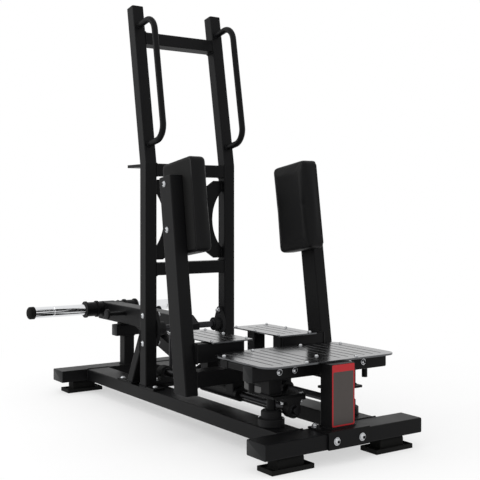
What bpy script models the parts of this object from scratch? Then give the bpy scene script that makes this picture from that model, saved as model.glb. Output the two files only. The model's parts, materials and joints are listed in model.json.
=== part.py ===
"""Standing hip abductor machine, loaded with plates on a lifting arm behind a leaning tower.

Metres. X runs to the user's right, Y from the user's end to the weight end, and Z up from the floor. Y 0 lies
between the levers and the tower, and the empty named machine carries it so that Y 0 is the whole box's middle.
"""

import math

import bmesh
import bpy
from mathutils import Matrix, Vector

# Seats and running fits
GAP = 0.0003
RUNNING_GAP = 0.0002

# Base of two crossmembers, two rails and four feet
BASE_ENTRY = -0.800
BASE_LENGTH = 1.600
BASE_WIDTH = 0.648
BASE_TUBE_WIDTH = 0.100
BASE_TUBE_HEIGHT = 0.050
RAIL_OFFSET = 0.157
FOOT_HEIGHT = 0.050
FOOT_LENGTH = 0.164
FOOT_WIDTH = 0.080
FOOT_OFFSET = 0.212
FOOT_TRAY_HEIGHT = 0.016
FOOT_RIM = 0.006
FOOT_TRAY_DEPTH = 0.007
FOOT_BLOCK_LENGTH = 0.104
FOOT_BLOCK_WIDTH = 0.052
FOOT_BLOCK_CROWN = 0.016
TUBE_CORNER = 0.004

# Tower of two uprights that lean back above a bend
UPRIGHT_SIZE = 0.050
UPRIGHT_OFFSET = 0.185
TOWER_Y = 0.183
BEND_HEIGHT = 0.984
LEAN = math.radians(10)
LEANED_LENGTH = 0.647
BASE_PLATE_THICKNESS = 0.008
BASE_PLATE_REACH = 0.060
CROSSBAR_SIZE = 0.050
LOWER_CROSSBAR_HEIGHT = 0.568
MIDDLE_CROSSBAR_HEIGHT = 0.961
TOP_CROSSBAR_REACH = 0.516
BRACE_SIZE = 0.040
BRACE_TOP = 0.283
BRACE_FOOT_Y = 0.303
BRACE_PLATE_THICKNESS = 0.006
BRACE_PLATE_REACH = 0.108

# Sheet panel between the uprights, and the tray behind the middle crossbar
PANEL_BOTTOM = 0.604
PANEL_TOP = 0.923
PANEL_THICKNESS = 0.004
PANEL_HOLLOW_HEIGHT = 0.234
PANEL_HOLLOW_DEPTH = 0.045
PANEL_EAR_WIDTH = 0.040
PANEL_NOTCH_DEPTH = 0.034
PANEL_NOTCH_RUN = 0.050
TRAY_WIDTH = 0.414
TRAY_DEPTH = 0.110
TRAY_LIP = 0.012
TRAY_THICKNESS = 0.004
TRAY_HEIGHT = 0.972

# Bent round handles on the fronts of the uprights
HANDLE_DIAMETER = 0.025
HANDLE_REACH = 0.117
HANDLE_BEND = 0.058
HANDLE_LOW = 0.076
HANDLE_HIGH = 0.566

# Shafts and bearings
SHAFT_DIAMETER = 0.025
LEVER_SHAFT_OFFSET = 0.105
LEVER_SHAFT_HEIGHT = 0.152
FRONT_BEARING_Y = -0.640
REAR_BEARING_Y = 0.190
BEARING_CENTRE_HEIGHT = 0.042
BEARING_LENGTH = 0.094
BEARING_WIDTH = 0.030
BEARING_BASE_THICKNESS = 0.012
BEARING_RADIUS = 0.027
BEARING_SHOULDER = 0.030
FLANGE_BOLT_SPACING = 0.110
FLANGE_END_RADIUS = 0.016
FLANGE_RADIUS = 0.036
FLANGE_THICKNESS = 0.014
FLANGE_HUB_RADIUS = 0.027
FLANGE_HUB_LENGTH = 0.041

# Weight arm and its rest
ARM_PIVOT_HEIGHT = 0.330
ARM_TUBE_SIZE = 0.080
ARM_FRONT_REACH = 0.022
ARM_NOSE_RUN = 0.030
ARM_NOSE_RISE = 0.008
ARM_STRUT_SIZE = 0.050
ARM_STRUT_DROP = 0.128
ARM_STRUT_FRONT = 0.062
ARM_STRUT_SETBACK = 0.141
ARM_STRUT_POST = 0.036
SLEEVE_Y = 0.895
SLEEVE_RISE = 0.010
ARM_TAIL = 0.045
SLEEVE_HUB_DIAMETER = 0.064
SLEEVE_HUB_HALF = 0.067
COLLAR_DIAMETER = 0.076
COLLAR_BODY_DIAMETER = 0.066
COLLAR_LENGTH = 0.066
COLLAR_LIP = 0.010
SLEEVE_DIAMETER = 0.050
SLEEVE_LENGTH = 0.245
SLEEVE_GROOVE_REACH = 0.155
SLEEVE_GROOVE_WIDTH = 0.006
SLEEVE_GROOVE_DEPTH = 0.002
SLEEVE_CAP_DIAMETER = 0.056
SLEEVE_CAP_LENGTH = 0.032
SLEEVE_CAP_ROUNDING = 0.0107
PEG_Y = 0.662
PEG_ROD_DIAMETER = 0.018
PEG_REACH = 0.095
PEG_DISC_DIAMETER = 0.045
PEG_DISC_THICKNESS = 0.010
REST_SETBACK = 0.025
REST_POST_SIZE = 0.050
REST_HEAD_LENGTH = 0.125
REST_PAD_THICKNESS = 0.006

# Cranks and links between the lever shafts and the weight arm
CRANK_RADIUS = 0.054
SWING_RANGE = math.radians(35)
CRANK_THICKNESS = 0.010
CRANK_PIN_DIAMETER = 0.010
CRANK_EYE_RADIUS = 0.013
CRANK_GAP_TO_LINK = 0.007
LINK_WIDTH = 0.012
LINK_EYE_RADIUS = 0.0155
LINK_PIN_DIAMETER = 0.014
LINK_ROD_INSET = 0.0015
LINK_PLAY = 0.0036

# Levers with their foot plates and thigh pads
LEVER_OUTER = 0.330
LEVER_WIDTH = 0.050
LEVER_DEPTH = 0.080
LEVER_LEAN = math.radians(8.2)
LEVER_BOTTOM = 0.168
LEVER_BOTTOM_Y = -0.308
LEVER_LENGTH = 0.758
PIVOT_TUBE_DIAMETER = 0.050
PIVOT_TUBE_START = -0.350
PIVOT_TUBE_END = -0.105
STRUT_SIZE = 0.050
REAR_STRUT_Y = -0.145
FOOT_BEAM_HEIGHT = 0.066
FOOT_BEAM_DEPTH = 0.050
FOOT_BEAM_FRONT = -0.340
FOOT_BEAM_INNER = 0.087
CROSS_TUBE_BOTTOM = 0.190
CROSS_TUBE_HEIGHT = 0.054
FOOT_PLATE_TOP = 0.346
FOOT_PLATE_THICKNESS = 0.005
FOOT_PLATE_INNER = 0.060
FOOT_PLATE_OUTER = 0.232
FOOT_PLATE_FRONT = -0.362
FOOT_PLATE_BACK = -0.045
FOOT_PLATE_CORNER = 0.010
PAD_HEIGHT = 0.340
PAD_DEPTH = 0.204
PAD_THICKNESS = 0.066
PAD_CENTRE_ALONG = 0.651
PAD_FORWARD = 0.004
PAD_CORNER = 0.020
PAD_ROUNDING = 0.012

# Fixed platform over the entry crossmember
PLATFORM_TOP = 0.316
PLATFORM_THICKNESS = 0.006
PLATFORM_HALF_WIDTH = 0.276
PLATFORM_FRONT = -0.739
PLATFORM_BACK = -0.399
PLATFORM_FRONT_CORNER = 0.045
PLATFORM_BACK_CORNER = 0.065
PLATFORM_TUBE_HEIGHT = 0.050
PLATFORM_FRAME_HALF_WIDTH = 0.282
PLATFORM_FRAME_FRONT = -0.672
PLATFORM_FRAME_BACK = -0.405
PLATFORM_FRONT_BEAM = 0.053
PLATFORM_BACK_BEAM = 0.040
PLATFORM_BACK_BEAM_LENGTH = 0.400
PLATFORM_WING_WIDTH = 0.050
PLATFORM_WING_HEIGHT = 0.022
PLATFORM_WING_BACK = -0.487
PLATFORM_WING_BAR = 0.040
PLATFORM_PEG_DIAMETER = 0.020
PLATFORM_PEG_LENGTH = 0.042
PLATFORM_PEG_X = 0.242
PLATFORM_PEG_Y = -0.608
LEG_OFFSET = 0.160
LEG_Y = -0.603
LEG_SIZE = 0.050
LEG_NECK_DIAMETER = 0.030
LEG_PLATE_THICKNESS = 0.008
LEG_PLATE_BACK = -0.575
MOUNT_RADIUS = 0.044
MOUNT_RIM_RADIUS = 0.034
MOUNT_SHOULDER = 0.024
MOUNT_HEIGHT = 0.052
MOUNT_CHAMFER = 0.005
POST_WIDTH = 0.100
POST_SETBACK = 0.025
POST_DEPTH = 0.056
SADDLE_WIDTH = 0.171
SADDLE_THICKNESS = 0.006

# Grooves milled along the treads
GROOVE_WIDTH = 0.005
GROOVE_DEPTH = 0.0012
GROOVE_PITCH = 0.0365
PLATFORM_GROOVES = 6
PLATFORM_GROOVE_FIRST = 0.045
PLATFORM_GROOVE_MARGIN = 0.035
FOOT_PLATE_GROOVES = 3
FOOT_PLATE_GROOVE_MARGIN = 0.040

# Facets of round pieces and corners
CORNER_STEPS = 2
BEND_STEPS = 6
HANDLE_SIDES = 12
SHAFT_SIDES = 20
SLEEVE_SIDES = 32
ARC_STEPS = 12
EYE_SIDES = 20
CROWN_STEPS = 4
CAP_STEPS = 3
SHARP_ANGLE = math.radians(35)

# Places worked out from the sizes above
BASE_TOP = FOOT_HEIGHT + BASE_TUBE_HEIGHT
ENTRY_Y = BASE_ENTRY + BASE_TUBE_WIDTH / 2
WEIGHT_Y = BASE_ENTRY + BASE_LENGTH - BASE_TUBE_WIDTH / 2
UPRIGHT_BACK = TOWER_Y + UPRIGHT_SIZE / 2
UPRIGHT_INNER = UPRIGHT_OFFSET - UPRIGHT_SIZE / 2
LEAN_DIRECTION = Vector((0, math.sin(LEAN), math.cos(LEAN)))
LEAN_FRONT = Vector((0, -math.cos(LEAN), math.sin(LEAN)))
LEVER_DIRECTION = Vector((0, math.sin(LEVER_LEAN), math.cos(LEVER_LEAN)))
LEVER_INNER = LEVER_OUTER - LEVER_WIDTH
HALF_SWING = SWING_RANGE / 2
CRANK_PIN_OFFSET = LEVER_SHAFT_OFFSET - CRANK_RADIUS * math.cos(HALF_SWING)
CRANK_PIN_HEIGHT = LEVER_SHAFT_HEIGHT - CRANK_RADIUS * math.sin(HALF_SWING)
LINK_Y = TOWER_Y + CRANK_RADIUS * math.cos(HALF_SWING)
LINK_TOP_HEIGHT = ARM_PIVOT_HEIGHT - CRANK_RADIUS * math.sin(HALF_SWING)
CRANK_BACK = LINK_Y - LINK_WIDTH / 2 - CRANK_GAP_TO_LINK
ARM_BOTTOM = ARM_PIVOT_HEIGHT - ARM_TUBE_SIZE / 2
FOOT_BEAM_TOP = FOOT_PLATE_TOP - FOOT_PLATE_THICKNESS - GAP
PLATFORM_FRAME_TOP = PLATFORM_TOP - PLATFORM_THICKNESS - GAP
PLATFORM_FRAME_BOTTOM = PLATFORM_FRAME_TOP - PLATFORM_TUBE_HEIGHT
FRONT_BEARING_SEAT = LEVER_SHAFT_HEIGHT + BEARING_CENTRE_HEIGHT + GAP
REAR_BEARING_SEAT = LEVER_SHAFT_HEIGHT - BEARING_CENTRE_HEIGHT - GAP
SADDLE_FRONT = BASE_ENTRY - GAP - SADDLE_THICKNESS
COLLAR_START = SLEEVE_HUB_HALF + GAP
SLEEVE_HEIGHT = ARM_PIVOT_HEIGHT + SLEEVE_RISE
REST_Y = WEIGHT_Y - REST_SETBACK
POST_FRONT = BASE_ENTRY + POST_SETBACK
MIDDLE_Y = (SLEEVE_Y + ARM_TAIL + SADDLE_FRONT) / 2

MACHINE = None
MATERIALS = {}


def material(name, colour, roughness, metallic):
    """Add one finish under its own name."""
    finish = bpy.data.materials.new(name)
    finish.use_nodes = True
    shader = finish.node_tree.nodes["Principled BSDF"]
    shader.inputs["Base Color"].default_value = (*colour, 1)
    shader.inputs["Roughness"].default_value = roughness
    shader.inputs["Metallic"].default_value = metallic
    finish.diffuse_color = (*colour, 1)
    MATERIALS[name] = finish


def add_materials():
    """The finishes seen on the machine."""
    material("black_powder_coat", (0.012, 0.012, 0.013), 0.45, 0.0)
    material("black_rubber", (0.010, 0.010, 0.010), 0.75, 0.0)
    material("brushed_aluminium", (0.42, 0.42, 0.43), 0.40, 1.0)
    material("chrome", (0.80, 0.80, 0.82), 0.08, 1.0)
    material("zinc_steel", (0.55, 0.55, 0.57), 0.30, 1.0)
    material("cast_black", (0.018, 0.018, 0.019), 0.55, 0.0)
    material("pad_vinyl", (0.014, 0.014, 0.014), 0.60, 0.0)


def finish_piece(bm, name, finish, origin=(0, 0, 0)):
    """Turn a bmesh into a named object of the machine, with its origin at the given point."""
    bmesh.ops.recalc_face_normals(bm, faces=bm.faces)
    bm.transform(Matrix.Translation(-Vector(origin)))
    mesh = bpy.data.meshes.new(name)
    bm.to_mesh(mesh)
    bm.free()
    mesh.shade_smooth()
    mesh.set_sharp_from_angle(angle=SHARP_ANGLE)
    mesh.materials.append(MATERIALS[finish])
    piece = bpy.data.objects.new(name, mesh)
    piece.location = origin
    piece.parent = MACHINE
    bpy.context.scene.collection.objects.link(piece)
    return piece


def combine(target, bm, operation):
    """Weld a shape to the target, or cut it out of the target."""
    tool = finish_piece(bm, "tool", "cast_black")
    modifier = target.modifiers.new(operation, "BOOLEAN")
    modifier.operation = operation
    modifier.object = tool
    graph = bpy.context.evaluated_depsgraph_get()
    plain = target.data
    target.data = bpy.data.meshes.new_from_object(target.evaluated_get(graph))
    target.modifiers.clear()
    bpy.data.meshes.remove(plain)
    tool_mesh = tool.data
    bpy.data.objects.remove(tool)
    bpy.data.meshes.remove(tool_mesh)
    target.data.shade_smooth()
    target.data.set_sharp_from_angle(angle=SHARP_ANGLE)


def weld(target, bm):
    """Join a shape to the target, as one weldment."""
    combine(target, bm, "UNION")


def cut(target, bm):
    """Take a shape out of the target."""
    combine(target, bm, "DIFFERENCE")


def box(low, high):
    """A plain box between two corners."""
    bm = bmesh.new()
    low, high = Vector(low), Vector(high)
    size = high - low
    bmesh.ops.create_cube(bm, size=1)
    bmesh.ops.scale(bm, vec=size, verts=bm.verts)
    bmesh.ops.translate(bm, vec=(low + high) / 2, verts=bm.verts)
    return bm


def round_bar(start, end, diameter, sides):
    """A round bar from start to end."""
    start, end = Vector(start), Vector(end)
    turn = (end - start).to_track_quat("Z", "Y").to_matrix().to_4x4()
    bm = bmesh.new()
    bmesh.ops.create_cone(
        bm, cap_ends=True, segments=sides, radius1=diameter / 2, radius2=diameter / 2,
        depth=(end - start).length, matrix=Matrix.Translation((start + end) / 2) @ turn)
    return bm


def bore(start, end, diameter, sides):
    """The cutter for a round hole that a faceted shaft of this diameter turns in."""
    across_flats = diameter / math.cos(math.pi / sides)
    return round_bar(start, end, across_flats + 2 * RUNNING_GAP, sides)


def turned(profile, base, axis, sides):
    """Turn a half profile of (radius, height) points round an axis that starts at base."""
    bm = bmesh.new()
    chain = [bm.verts.new((radius, 0, height)) for radius, height in profile]
    edges = [bm.edges.new(pair) for pair in zip(chain, chain[1:])]
    bmesh.ops.spin(
        bm, geom=chain + edges, cent=(0, 0, 0), axis=(0, 0, 1), angle=math.tau, steps=sides, use_merge=True)
    bmesh.ops.remove_doubles(bm, verts=bm.verts, dist=0.00001)
    turn = Vector(axis).to_track_quat("Z", "Y").to_matrix().to_4x4()
    bm.transform(Matrix.Translation(base) @ turn)
    return bm


def swept(bm, path, across, start_normal=None, end_normal=None):
    """Push the section face in bm along a path; bends are mitred, ends cut square or by a given plane."""
    across = Vector(across)
    path = [Vector(point) for point in path]
    runs = [(after - before).normalized() for before, after in zip(path, path[1:])]
    frame = Matrix((across, runs[0].cross(across), runs[0])).transposed().to_4x4()
    bm.transform(Matrix.Translation(path[0]) @ frame)
    slide(bm.verts, runs[0], path[0], Vector(start_normal or runs[0]))
    bm.faces.ensure_lookup_table()
    face = bm.faces[0]
    for number, run in enumerate(runs):
        last = number == len(runs) - 1
        normal = Vector(end_normal or run) if last else run + runs[number + 1]
        face = extruded(bm, face)
        slide(face.verts, run, path[number + 1], normal)
    return bm


def extruded(bm, face):
    """Extrude a face and give the new one; the old one stays only where it closes the start."""
    tip = bmesh.ops.extrude_face_region(bm, geom=[face])["geom"]
    if face.is_valid and len(face.edges[0].link_faces) > 2:
        bm.faces.remove(face)
    return next(part for part in tip if isinstance(part, bmesh.types.BMFace))


def slide(verts, direction, point, normal):
    """Slide vertices along a direction until they lie on a plane."""
    for vert in verts:
        vert.co += direction * ((point - vert.co).dot(normal) / direction.dot(normal))


def tube(width, depth, path, across, start_normal=None, end_normal=None, corner=TUBE_CORNER):
    """A rectangular tube with rounded corners along a path; its width lies along across."""
    bm = bmesh.new()
    bmesh.ops.create_grid(bm, x_segments=1, y_segments=1, size=0.5)
    bmesh.ops.scale(bm, vec=(width, depth, 1), verts=bm.verts)
    bmesh.ops.bevel(
        bm, geom=bm.verts[:], offset=corner, segments=CORNER_STEPS, profile=0.5, affect="VERTICES",
        material=-1)
    return swept(bm, path, across, start_normal, end_normal)


def rod(diameter, sides, path, across):
    """A round rod along a path."""
    bm = bmesh.new()
    bmesh.ops.create_circle(bm, cap_ends=True, segments=sides, radius=diameter / 2)
    return swept(bm, path, across)


def arc(centre, radius, start, end, steps=ARC_STEPS):
    """Points of a flat arc, from one angle to another."""
    turns = [start + (end - start) * step / steps for step in range(steps + 1)]
    return [(centre[0] + radius * math.cos(turn), centre[1] + radius * math.sin(turn)) for turn in turns]


def sheet(outline, thickness, frame):
    """A flat sheet of the given outline, pushed out along the frame's own Z."""
    bm = bmesh.new()
    face = bm.faces.new([bm.verts.new((across, up, 0)) for across, up in outline])
    bmesh.ops.translate(bm, vec=(0, 0, thickness), verts=extruded(bm, face).verts)
    bm.transform(frame)
    bmesh.ops.recalc_face_normals(bm, faces=bm.faces)
    bm.normal_update()
    return bm


def upright_frame(point):
    """A frame at a point whose X is the machine's, whose Y is up and whose Z is towards the user."""
    return Matrix.Translation(point) @ Matrix.Rotation(math.pi / 2, 4, "X")


def side_frame(point):
    """A frame at a point whose X is the machine's Y, whose Y is up and whose Z is the machine's X."""
    return Matrix.Translation(point) @ Matrix(((0, 0, 1), (1, 0, 0), (0, 1, 0))).to_4x4()


def rounded_rectangle(low, high, corners):
    """The outline of a rectangle; its corners, from low x low y and anticlockwise, have their own radii."""
    places = (
        (low[0], low[1], 1, 1), (high[0], low[1], -1, 1), (high[0], high[1], -1, -1),
        (low[0], high[1], 1, -1))
    outline = []
    for number, (place, radius) in enumerate(zip(places, corners)):
        centre = (place[0] + place[2] * radius, place[1] + place[3] * radius)
        start = math.pi + number * math.pi / 2
        outline += arc(centre, radius, start, start + math.pi / 2, steps=BEND_STEPS)
    return outline


def sided(side):
    """The name of the machine's side at this sign of X."""
    return "right" if side > 0 else "left"


def along(reach, forward=0.0, side=0.0):
    """A point on the leaned part of an upright, from the bend along the lean and out to the front."""
    return Vector((side, TOWER_Y, BEND_HEIGHT)) + LEAN_DIRECTION * reach + LEAN_FRONT * forward


def add_base():
    """Two crossmembers, with a rail to each side between them."""
    ends = (("entry_crossmember", ENTRY_Y), ("weight_crossmember", WEIGHT_Y))
    middle_height = FOOT_HEIGHT + BASE_TUBE_HEIGHT / 2
    for name, place in ends:
        path = [(-BASE_WIDTH / 2, place, middle_height), (BASE_WIDTH / 2, place, middle_height)]
        finish_piece(tube(BASE_TUBE_WIDTH, BASE_TUBE_HEIGHT, path, (0, 1, 0)), name, "black_powder_coat")
    rail_start, rail_end = (
        ENTRY_Y + BASE_TUBE_WIDTH / 2 + GAP, WEIGHT_Y - BASE_TUBE_WIDTH / 2 - GAP)
    for side in (-1, 1):
        x = side * RAIL_OFFSET
        path = [(x, rail_start, middle_height), (x, rail_end, middle_height)]
        rail = finish_piece(
            tube(BASE_TUBE_WIDTH, BASE_TUBE_HEIGHT, path, (1, 0, 0)), sided(side) + "_rail",
            "black_powder_coat")
        seat_inner = LEVER_SHAFT_OFFSET - BEARING_LENGTH / 2 - GAP
        seat_outer = UPRIGHT_INNER - 2 * GAP
        reach = sorted((side * seat_inner, side * seat_outer))
        seat_depth = BEARING_WIDTH / 2 + TUBE_CORNER
        weld(rail, box(
            (reach[0], REAR_BEARING_Y - seat_depth, BASE_TOP - TUBE_CORNER),
            (reach[1], REAR_BEARING_Y + seat_depth, REAR_BEARING_SEAT)))


def add_feet():
    """A rubber tray with a rounded block under each crossmember end."""
    for end, place in (("entry", ENTRY_Y), ("weight", WEIGHT_Y)):
        for side in (-1, 1):
            bm = box(
                (-FOOT_LENGTH / 2, -FOOT_WIDTH / 2, 0), (FOOT_LENGTH / 2, FOOT_WIDTH / 2, FOOT_TRAY_HEIGHT))
            top = max(bm.faces, key=lambda face: face.calc_center_median().z)
            bmesh.ops.inset_region(bm, faces=[top], thickness=FOOT_RIM)
            floor = FOOT_TRAY_HEIGHT - FOOT_TRAY_DEPTH
            top = lift(bm, top, floor)
            bmesh.ops.inset_region(bm, faces=[top], thickness=FOOT_RIM / 2)
            for vert in top.verts:
                vert.co.x = math.copysign(FOOT_BLOCK_LENGTH / 2, vert.co.x)
                vert.co.y = math.copysign(FOOT_BLOCK_WIDTH / 2, vert.co.y)
            top = lift(bm, top, FOOT_HEIGHT - GAP)
            crowns = [edge for edge in top.edges if abs(edge.verts[0].co.y - edge.verts[1].co.y) < GAP]
            bmesh.ops.bevel(
                bm, geom=crowns, offset=FOOT_BLOCK_CROWN, segments=CROWN_STEPS, profile=0.5, affect="EDGES",
                material=-1)
            bmesh.ops.translate(bm, vec=(side * FOOT_OFFSET, place, 0), verts=bm.verts)
            finish_piece(bm, f"{end}_{sided(side)}_foot", "black_rubber")


def lift(bm, face, height):
    """Extrude a level face to a height, and give the new face."""
    face = extruded(bm, face)
    for vert in face.verts:
        vert.co.z = height
    return face


def add_uprights():
    """Each upright stands on a base plate and leans back above its bend; a brace props it from behind."""
    for side in (-1, 1):
        middle = side * UPRIGHT_OFFSET
        foot = BASE_TOP + GAP
        path = [(middle, TOWER_Y, foot), (middle, TOWER_Y, BEND_HEIGHT), along(LEANED_LENGTH, side=middle)]
        upright = finish_piece(
            tube(UPRIGHT_SIZE, UPRIGHT_SIZE, path, (1, 0, 0)), sided(side) + "_upright", "black_powder_coat")
        half = UPRIGHT_SIZE / 2
        weld(upright, box(
            (middle - half, TOWER_Y - half - BASE_PLATE_REACH, foot),
            (middle + half, TOWER_Y + half, foot + BASE_PLATE_THICKNESS)))
        outer = side * (UPRIGHT_OFFSET + UPRIGHT_SIZE / 2)
        inner = outer - side * BRACE_SIZE
        centre = (outer + inner) / 2
        top = Vector((centre, UPRIGHT_BACK + GAP, BRACE_TOP))
        bottom = Vector((centre, BRACE_FOOT_Y, foot))
        brace = finish_piece(
            tube(BRACE_SIZE, BRACE_SIZE, [bottom, top], (1, 0, 0), (0, 0, 1), (0, 1, 0)),
            sided(side) + "_brace", "black_powder_coat")
        reach = sorted((inner + side * TUBE_CORNER, outer - side * TUBE_CORNER))
        plate_end = BRACE_FOOT_Y + BRACE_PLATE_REACH
        weld(brace, box((reach[0], BRACE_FOOT_Y, foot), (reach[1], plate_end, foot + BRACE_PLATE_THICKNESS)))


def add_crossbars():
    """Three square tubes between the uprights; the top one leans with them."""
    end = UPRIGHT_INNER - GAP
    bars = (
        ("lower_crossbar", Vector((0, TOWER_Y, LOWER_CROSSBAR_HEIGHT)), Vector((0, 1, 0))),
        ("middle_crossbar", Vector((0, TOWER_Y, MIDDLE_CROSSBAR_HEIGHT)), Vector((0, 1, 0))),
        ("top_crossbar", along(TOP_CROSSBAR_REACH), -LEAN_FRONT),
    )
    for name, middle, across in bars:
        path = [middle - Vector((end, 0, 0)), middle + Vector((end, 0, 0))]
        finish_piece(tube(CROSSBAR_SIZE, CROSSBAR_SIZE, path, across), name, "black_powder_coat")


def add_handles():
    """A round bar bent out from each upright's front, along it and back."""
    front = UPRIGHT_SIZE / 2 + GAP
    reach = front + HANDLE_REACH
    bend = HANDLE_BEND
    for side in (-1, 1):
        middle = side * UPRIGHT_OFFSET
        route = [(HANDLE_LOW, front)]
        route += [(HANDLE_LOW + bend + x, reach - bend + y)
                  for x, y in arc((0, 0), bend, math.pi, math.pi / 2, steps=BEND_STEPS)]
        route += [(HANDLE_HIGH - bend + x, reach - bend + y)
                  for x, y in arc((0, 0), bend, math.pi / 2, 0, steps=BEND_STEPS)]
        route += [(HANDLE_HIGH, front)]
        path = [along(reach_up, out, middle) for reach_up, out in route]
        finish_piece(
            rod(HANDLE_DIAMETER, HANDLE_SIDES, path, (1, 0, 0)), sided(side) + "_handle", "black_powder_coat")


def add_panel():
    """A sheet with an ear at each corner, hollowed at its sides and notched above and below."""
    half_width = UPRIGHT_INNER - GAP
    middle = (PANEL_TOP + PANEL_BOTTOM) / 2
    half_height = (PANEL_TOP - PANEL_BOTTOM) / 2
    half_hollow = PANEL_HOLLOW_HEIGHT / 2
    radius = (half_hollow ** 2 + PANEL_HOLLOW_DEPTH ** 2) / (2 * PANEL_HOLLOW_DEPTH)
    spread = math.asin(half_hollow / radius)
    centre = half_width - PANEL_HOLLOW_DEPTH + radius
    ear = half_width - PANEL_EAR_WIDTH
    notch = ear - PANEL_NOTCH_RUN
    right = arc((centre, 0), radius, math.pi + spread, math.pi - spread)
    upper = [(half_width, half_height), (ear, half_height), (notch, half_height - PANEL_NOTCH_DEPTH)]
    quarter = right + upper
    left = [(-x, y) for x, y in reversed(upper)]
    left += [(-x, y) for x, y in reversed(right)]
    lower = [(-half_width, -half_height), (-ear, -half_height), (-notch, PANEL_NOTCH_DEPTH - half_height)]
    lower += [(-x, y) for x, y in reversed(lower)]
    frame = upright_frame((0, TOWER_Y + PANEL_THICKNESS / 2, middle))
    finish_piece(sheet(quarter + left + lower, PANEL_THICKNESS, frame), "back_panel", "black_powder_coat")


def add_tray():
    """A shallow sheet tray behind the middle crossbar, open to the front."""
    above_bend = TRAY_HEIGHT + TRAY_LIP - BEND_HEIGHT + UPRIGHT_SIZE / 2 * math.tan(LEAN / 2)
    front = UPRIGHT_BACK + GAP + max(above_bend, 0) * math.tan(LEAN)
    half = TRAY_WIDTH / 2
    tray = finish_piece(
        box((-half, front, TRAY_HEIGHT), (half, front + TRAY_DEPTH, TRAY_HEIGHT + TRAY_LIP)), "tray",
        "black_powder_coat")
    cut(tray, box(
        (TRAY_THICKNESS - half, front - TRAY_THICKNESS, TRAY_HEIGHT + TRAY_THICKNESS),
        (half - TRAY_THICKNESS, front + TRAY_DEPTH - TRAY_THICKNESS, TRAY_HEIGHT + 2 * TRAY_LIP)))


def pillow_block(name, side, place, hanging):
    """A cast pillow block round a lever shaft, standing on its seat or hanging from it."""
    turn = -1 if hanging else 1
    half_length = BEARING_LENGTH / 2
    base = BEARING_CENTRE_HEIGHT - BEARING_BASE_THICKNESS
    low = math.asin(base / 2 / BEARING_RADIUS)
    dome = arc((0, 0), BEARING_RADIUS, -low, math.pi + low)
    outline = [(half_length, -BEARING_CENTRE_HEIGHT), (half_length, -base), (BEARING_SHOULDER, -base)]
    outline += dome
    outline += [(-x, y) for x, y in reversed(outline[:3])]
    outline = [(x, turn * y) for x, y in outline]
    axis = Vector((side * LEVER_SHAFT_OFFSET, place, LEVER_SHAFT_HEIGHT))
    frame = upright_frame(axis + Vector((0, BEARING_WIDTH / 2, 0)))
    block = finish_piece(sheet(outline, BEARING_WIDTH, frame), name, "cast_black")
    reach = Vector((0, BEARING_WIDTH, 0))
    cut(block, bore(axis - reach, axis + reach, SHAFT_DIAMETER, SHAFT_SIDES))


def flange_outline():
    """The outline of a two-bolt oval flange, long along its second direction."""
    half_spacing = FLANGE_BOLT_SPACING / 2
    tilt = math.asin((FLANGE_RADIUS - FLANGE_END_RADIUS) / half_spacing)
    outline = arc((0, half_spacing), FLANGE_END_RADIUS, tilt, math.pi - tilt, steps=BEND_STEPS)
    outline += arc((0, 0), FLANGE_RADIUS, math.pi - tilt, math.pi + tilt, steps=BEND_STEPS // 2)
    outline += arc((0, -half_spacing), FLANGE_END_RADIUS, math.pi + tilt, math.tau - tilt, steps=BEND_STEPS)
    outline += arc((0, 0), FLANGE_RADIUS, -tilt, tilt, steps=BEND_STEPS // 2)
    return outline


def flange_bearing(name, seat, frame):
    """A cast oval flange bearing; the frame's Z is the shaft, away from the seat."""
    place = Matrix.Translation(seat) @ frame
    bearing = finish_piece(sheet(flange_outline(), FLANGE_THICKNESS, place), name, "cast_black")
    axis = frame.to_3x3() @ Vector((0, 0, 1))
    foot = Vector(seat)
    reach = axis * FLANGE_HUB_LENGTH
    weld(bearing, round_bar(foot + axis * GAP, foot + reach, 2 * FLANGE_HUB_RADIUS, SLEEVE_SIDES))
    cut(bearing, bore(foot - reach, foot + 2 * reach, SHAFT_DIAMETER, SHAFT_SIDES))


def add_bearings():
    """Four pillow blocks for the lever shafts, and a flange bearing on each upright for the arm's shaft."""
    for side in (-1, 1):
        pillow_block(sided(side) + "_front_bearing", side, FRONT_BEARING_Y, hanging=True)
        pillow_block(sided(side) + "_rear_bearing", side, REAR_BEARING_Y, hanging=False)
        facing = Matrix.Rotation(-side * math.pi / 2, 4, "Y") @ Matrix.Rotation(math.pi / 2, 4, "Z")
        seat = (side * (UPRIGHT_INNER - GAP), TOWER_Y, ARM_PIVOT_HEIGHT)
        flange_bearing(sided(side) + "_arm_bearing", seat, facing)


def add_rest():
    """A post on the weight crossmember with a T head, and the rubber that the weight arm lies on."""
    half = REST_POST_SIZE / 2
    head_top = ARM_BOTTOM - REST_PAD_THICKNESS - 2 * GAP
    head_middle = head_top - half
    foot = (0, REST_Y, BASE_TOP + GAP)
    post = finish_piece(
        tube(REST_POST_SIZE, REST_POST_SIZE, [foot, (0, REST_Y, head_middle)], (1, 0, 0)), "rest_post",
        "black_powder_coat")
    reach = REST_HEAD_LENGTH / 2
    head = [(-reach, REST_Y, head_middle), (reach, REST_Y, head_middle)]
    weld(post, tube(REST_POST_SIZE, REST_POST_SIZE, head, (0, 1, 0)))
    pad_half = ARM_TUBE_SIZE / 2
    inset = half - TUBE_CORNER
    finish_piece(
        box((-pad_half, REST_Y - inset, head_top + GAP), (pad_half, REST_Y + inset, ARM_BOTTOM - GAP)),
        "rest_pad", "black_rubber")


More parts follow.
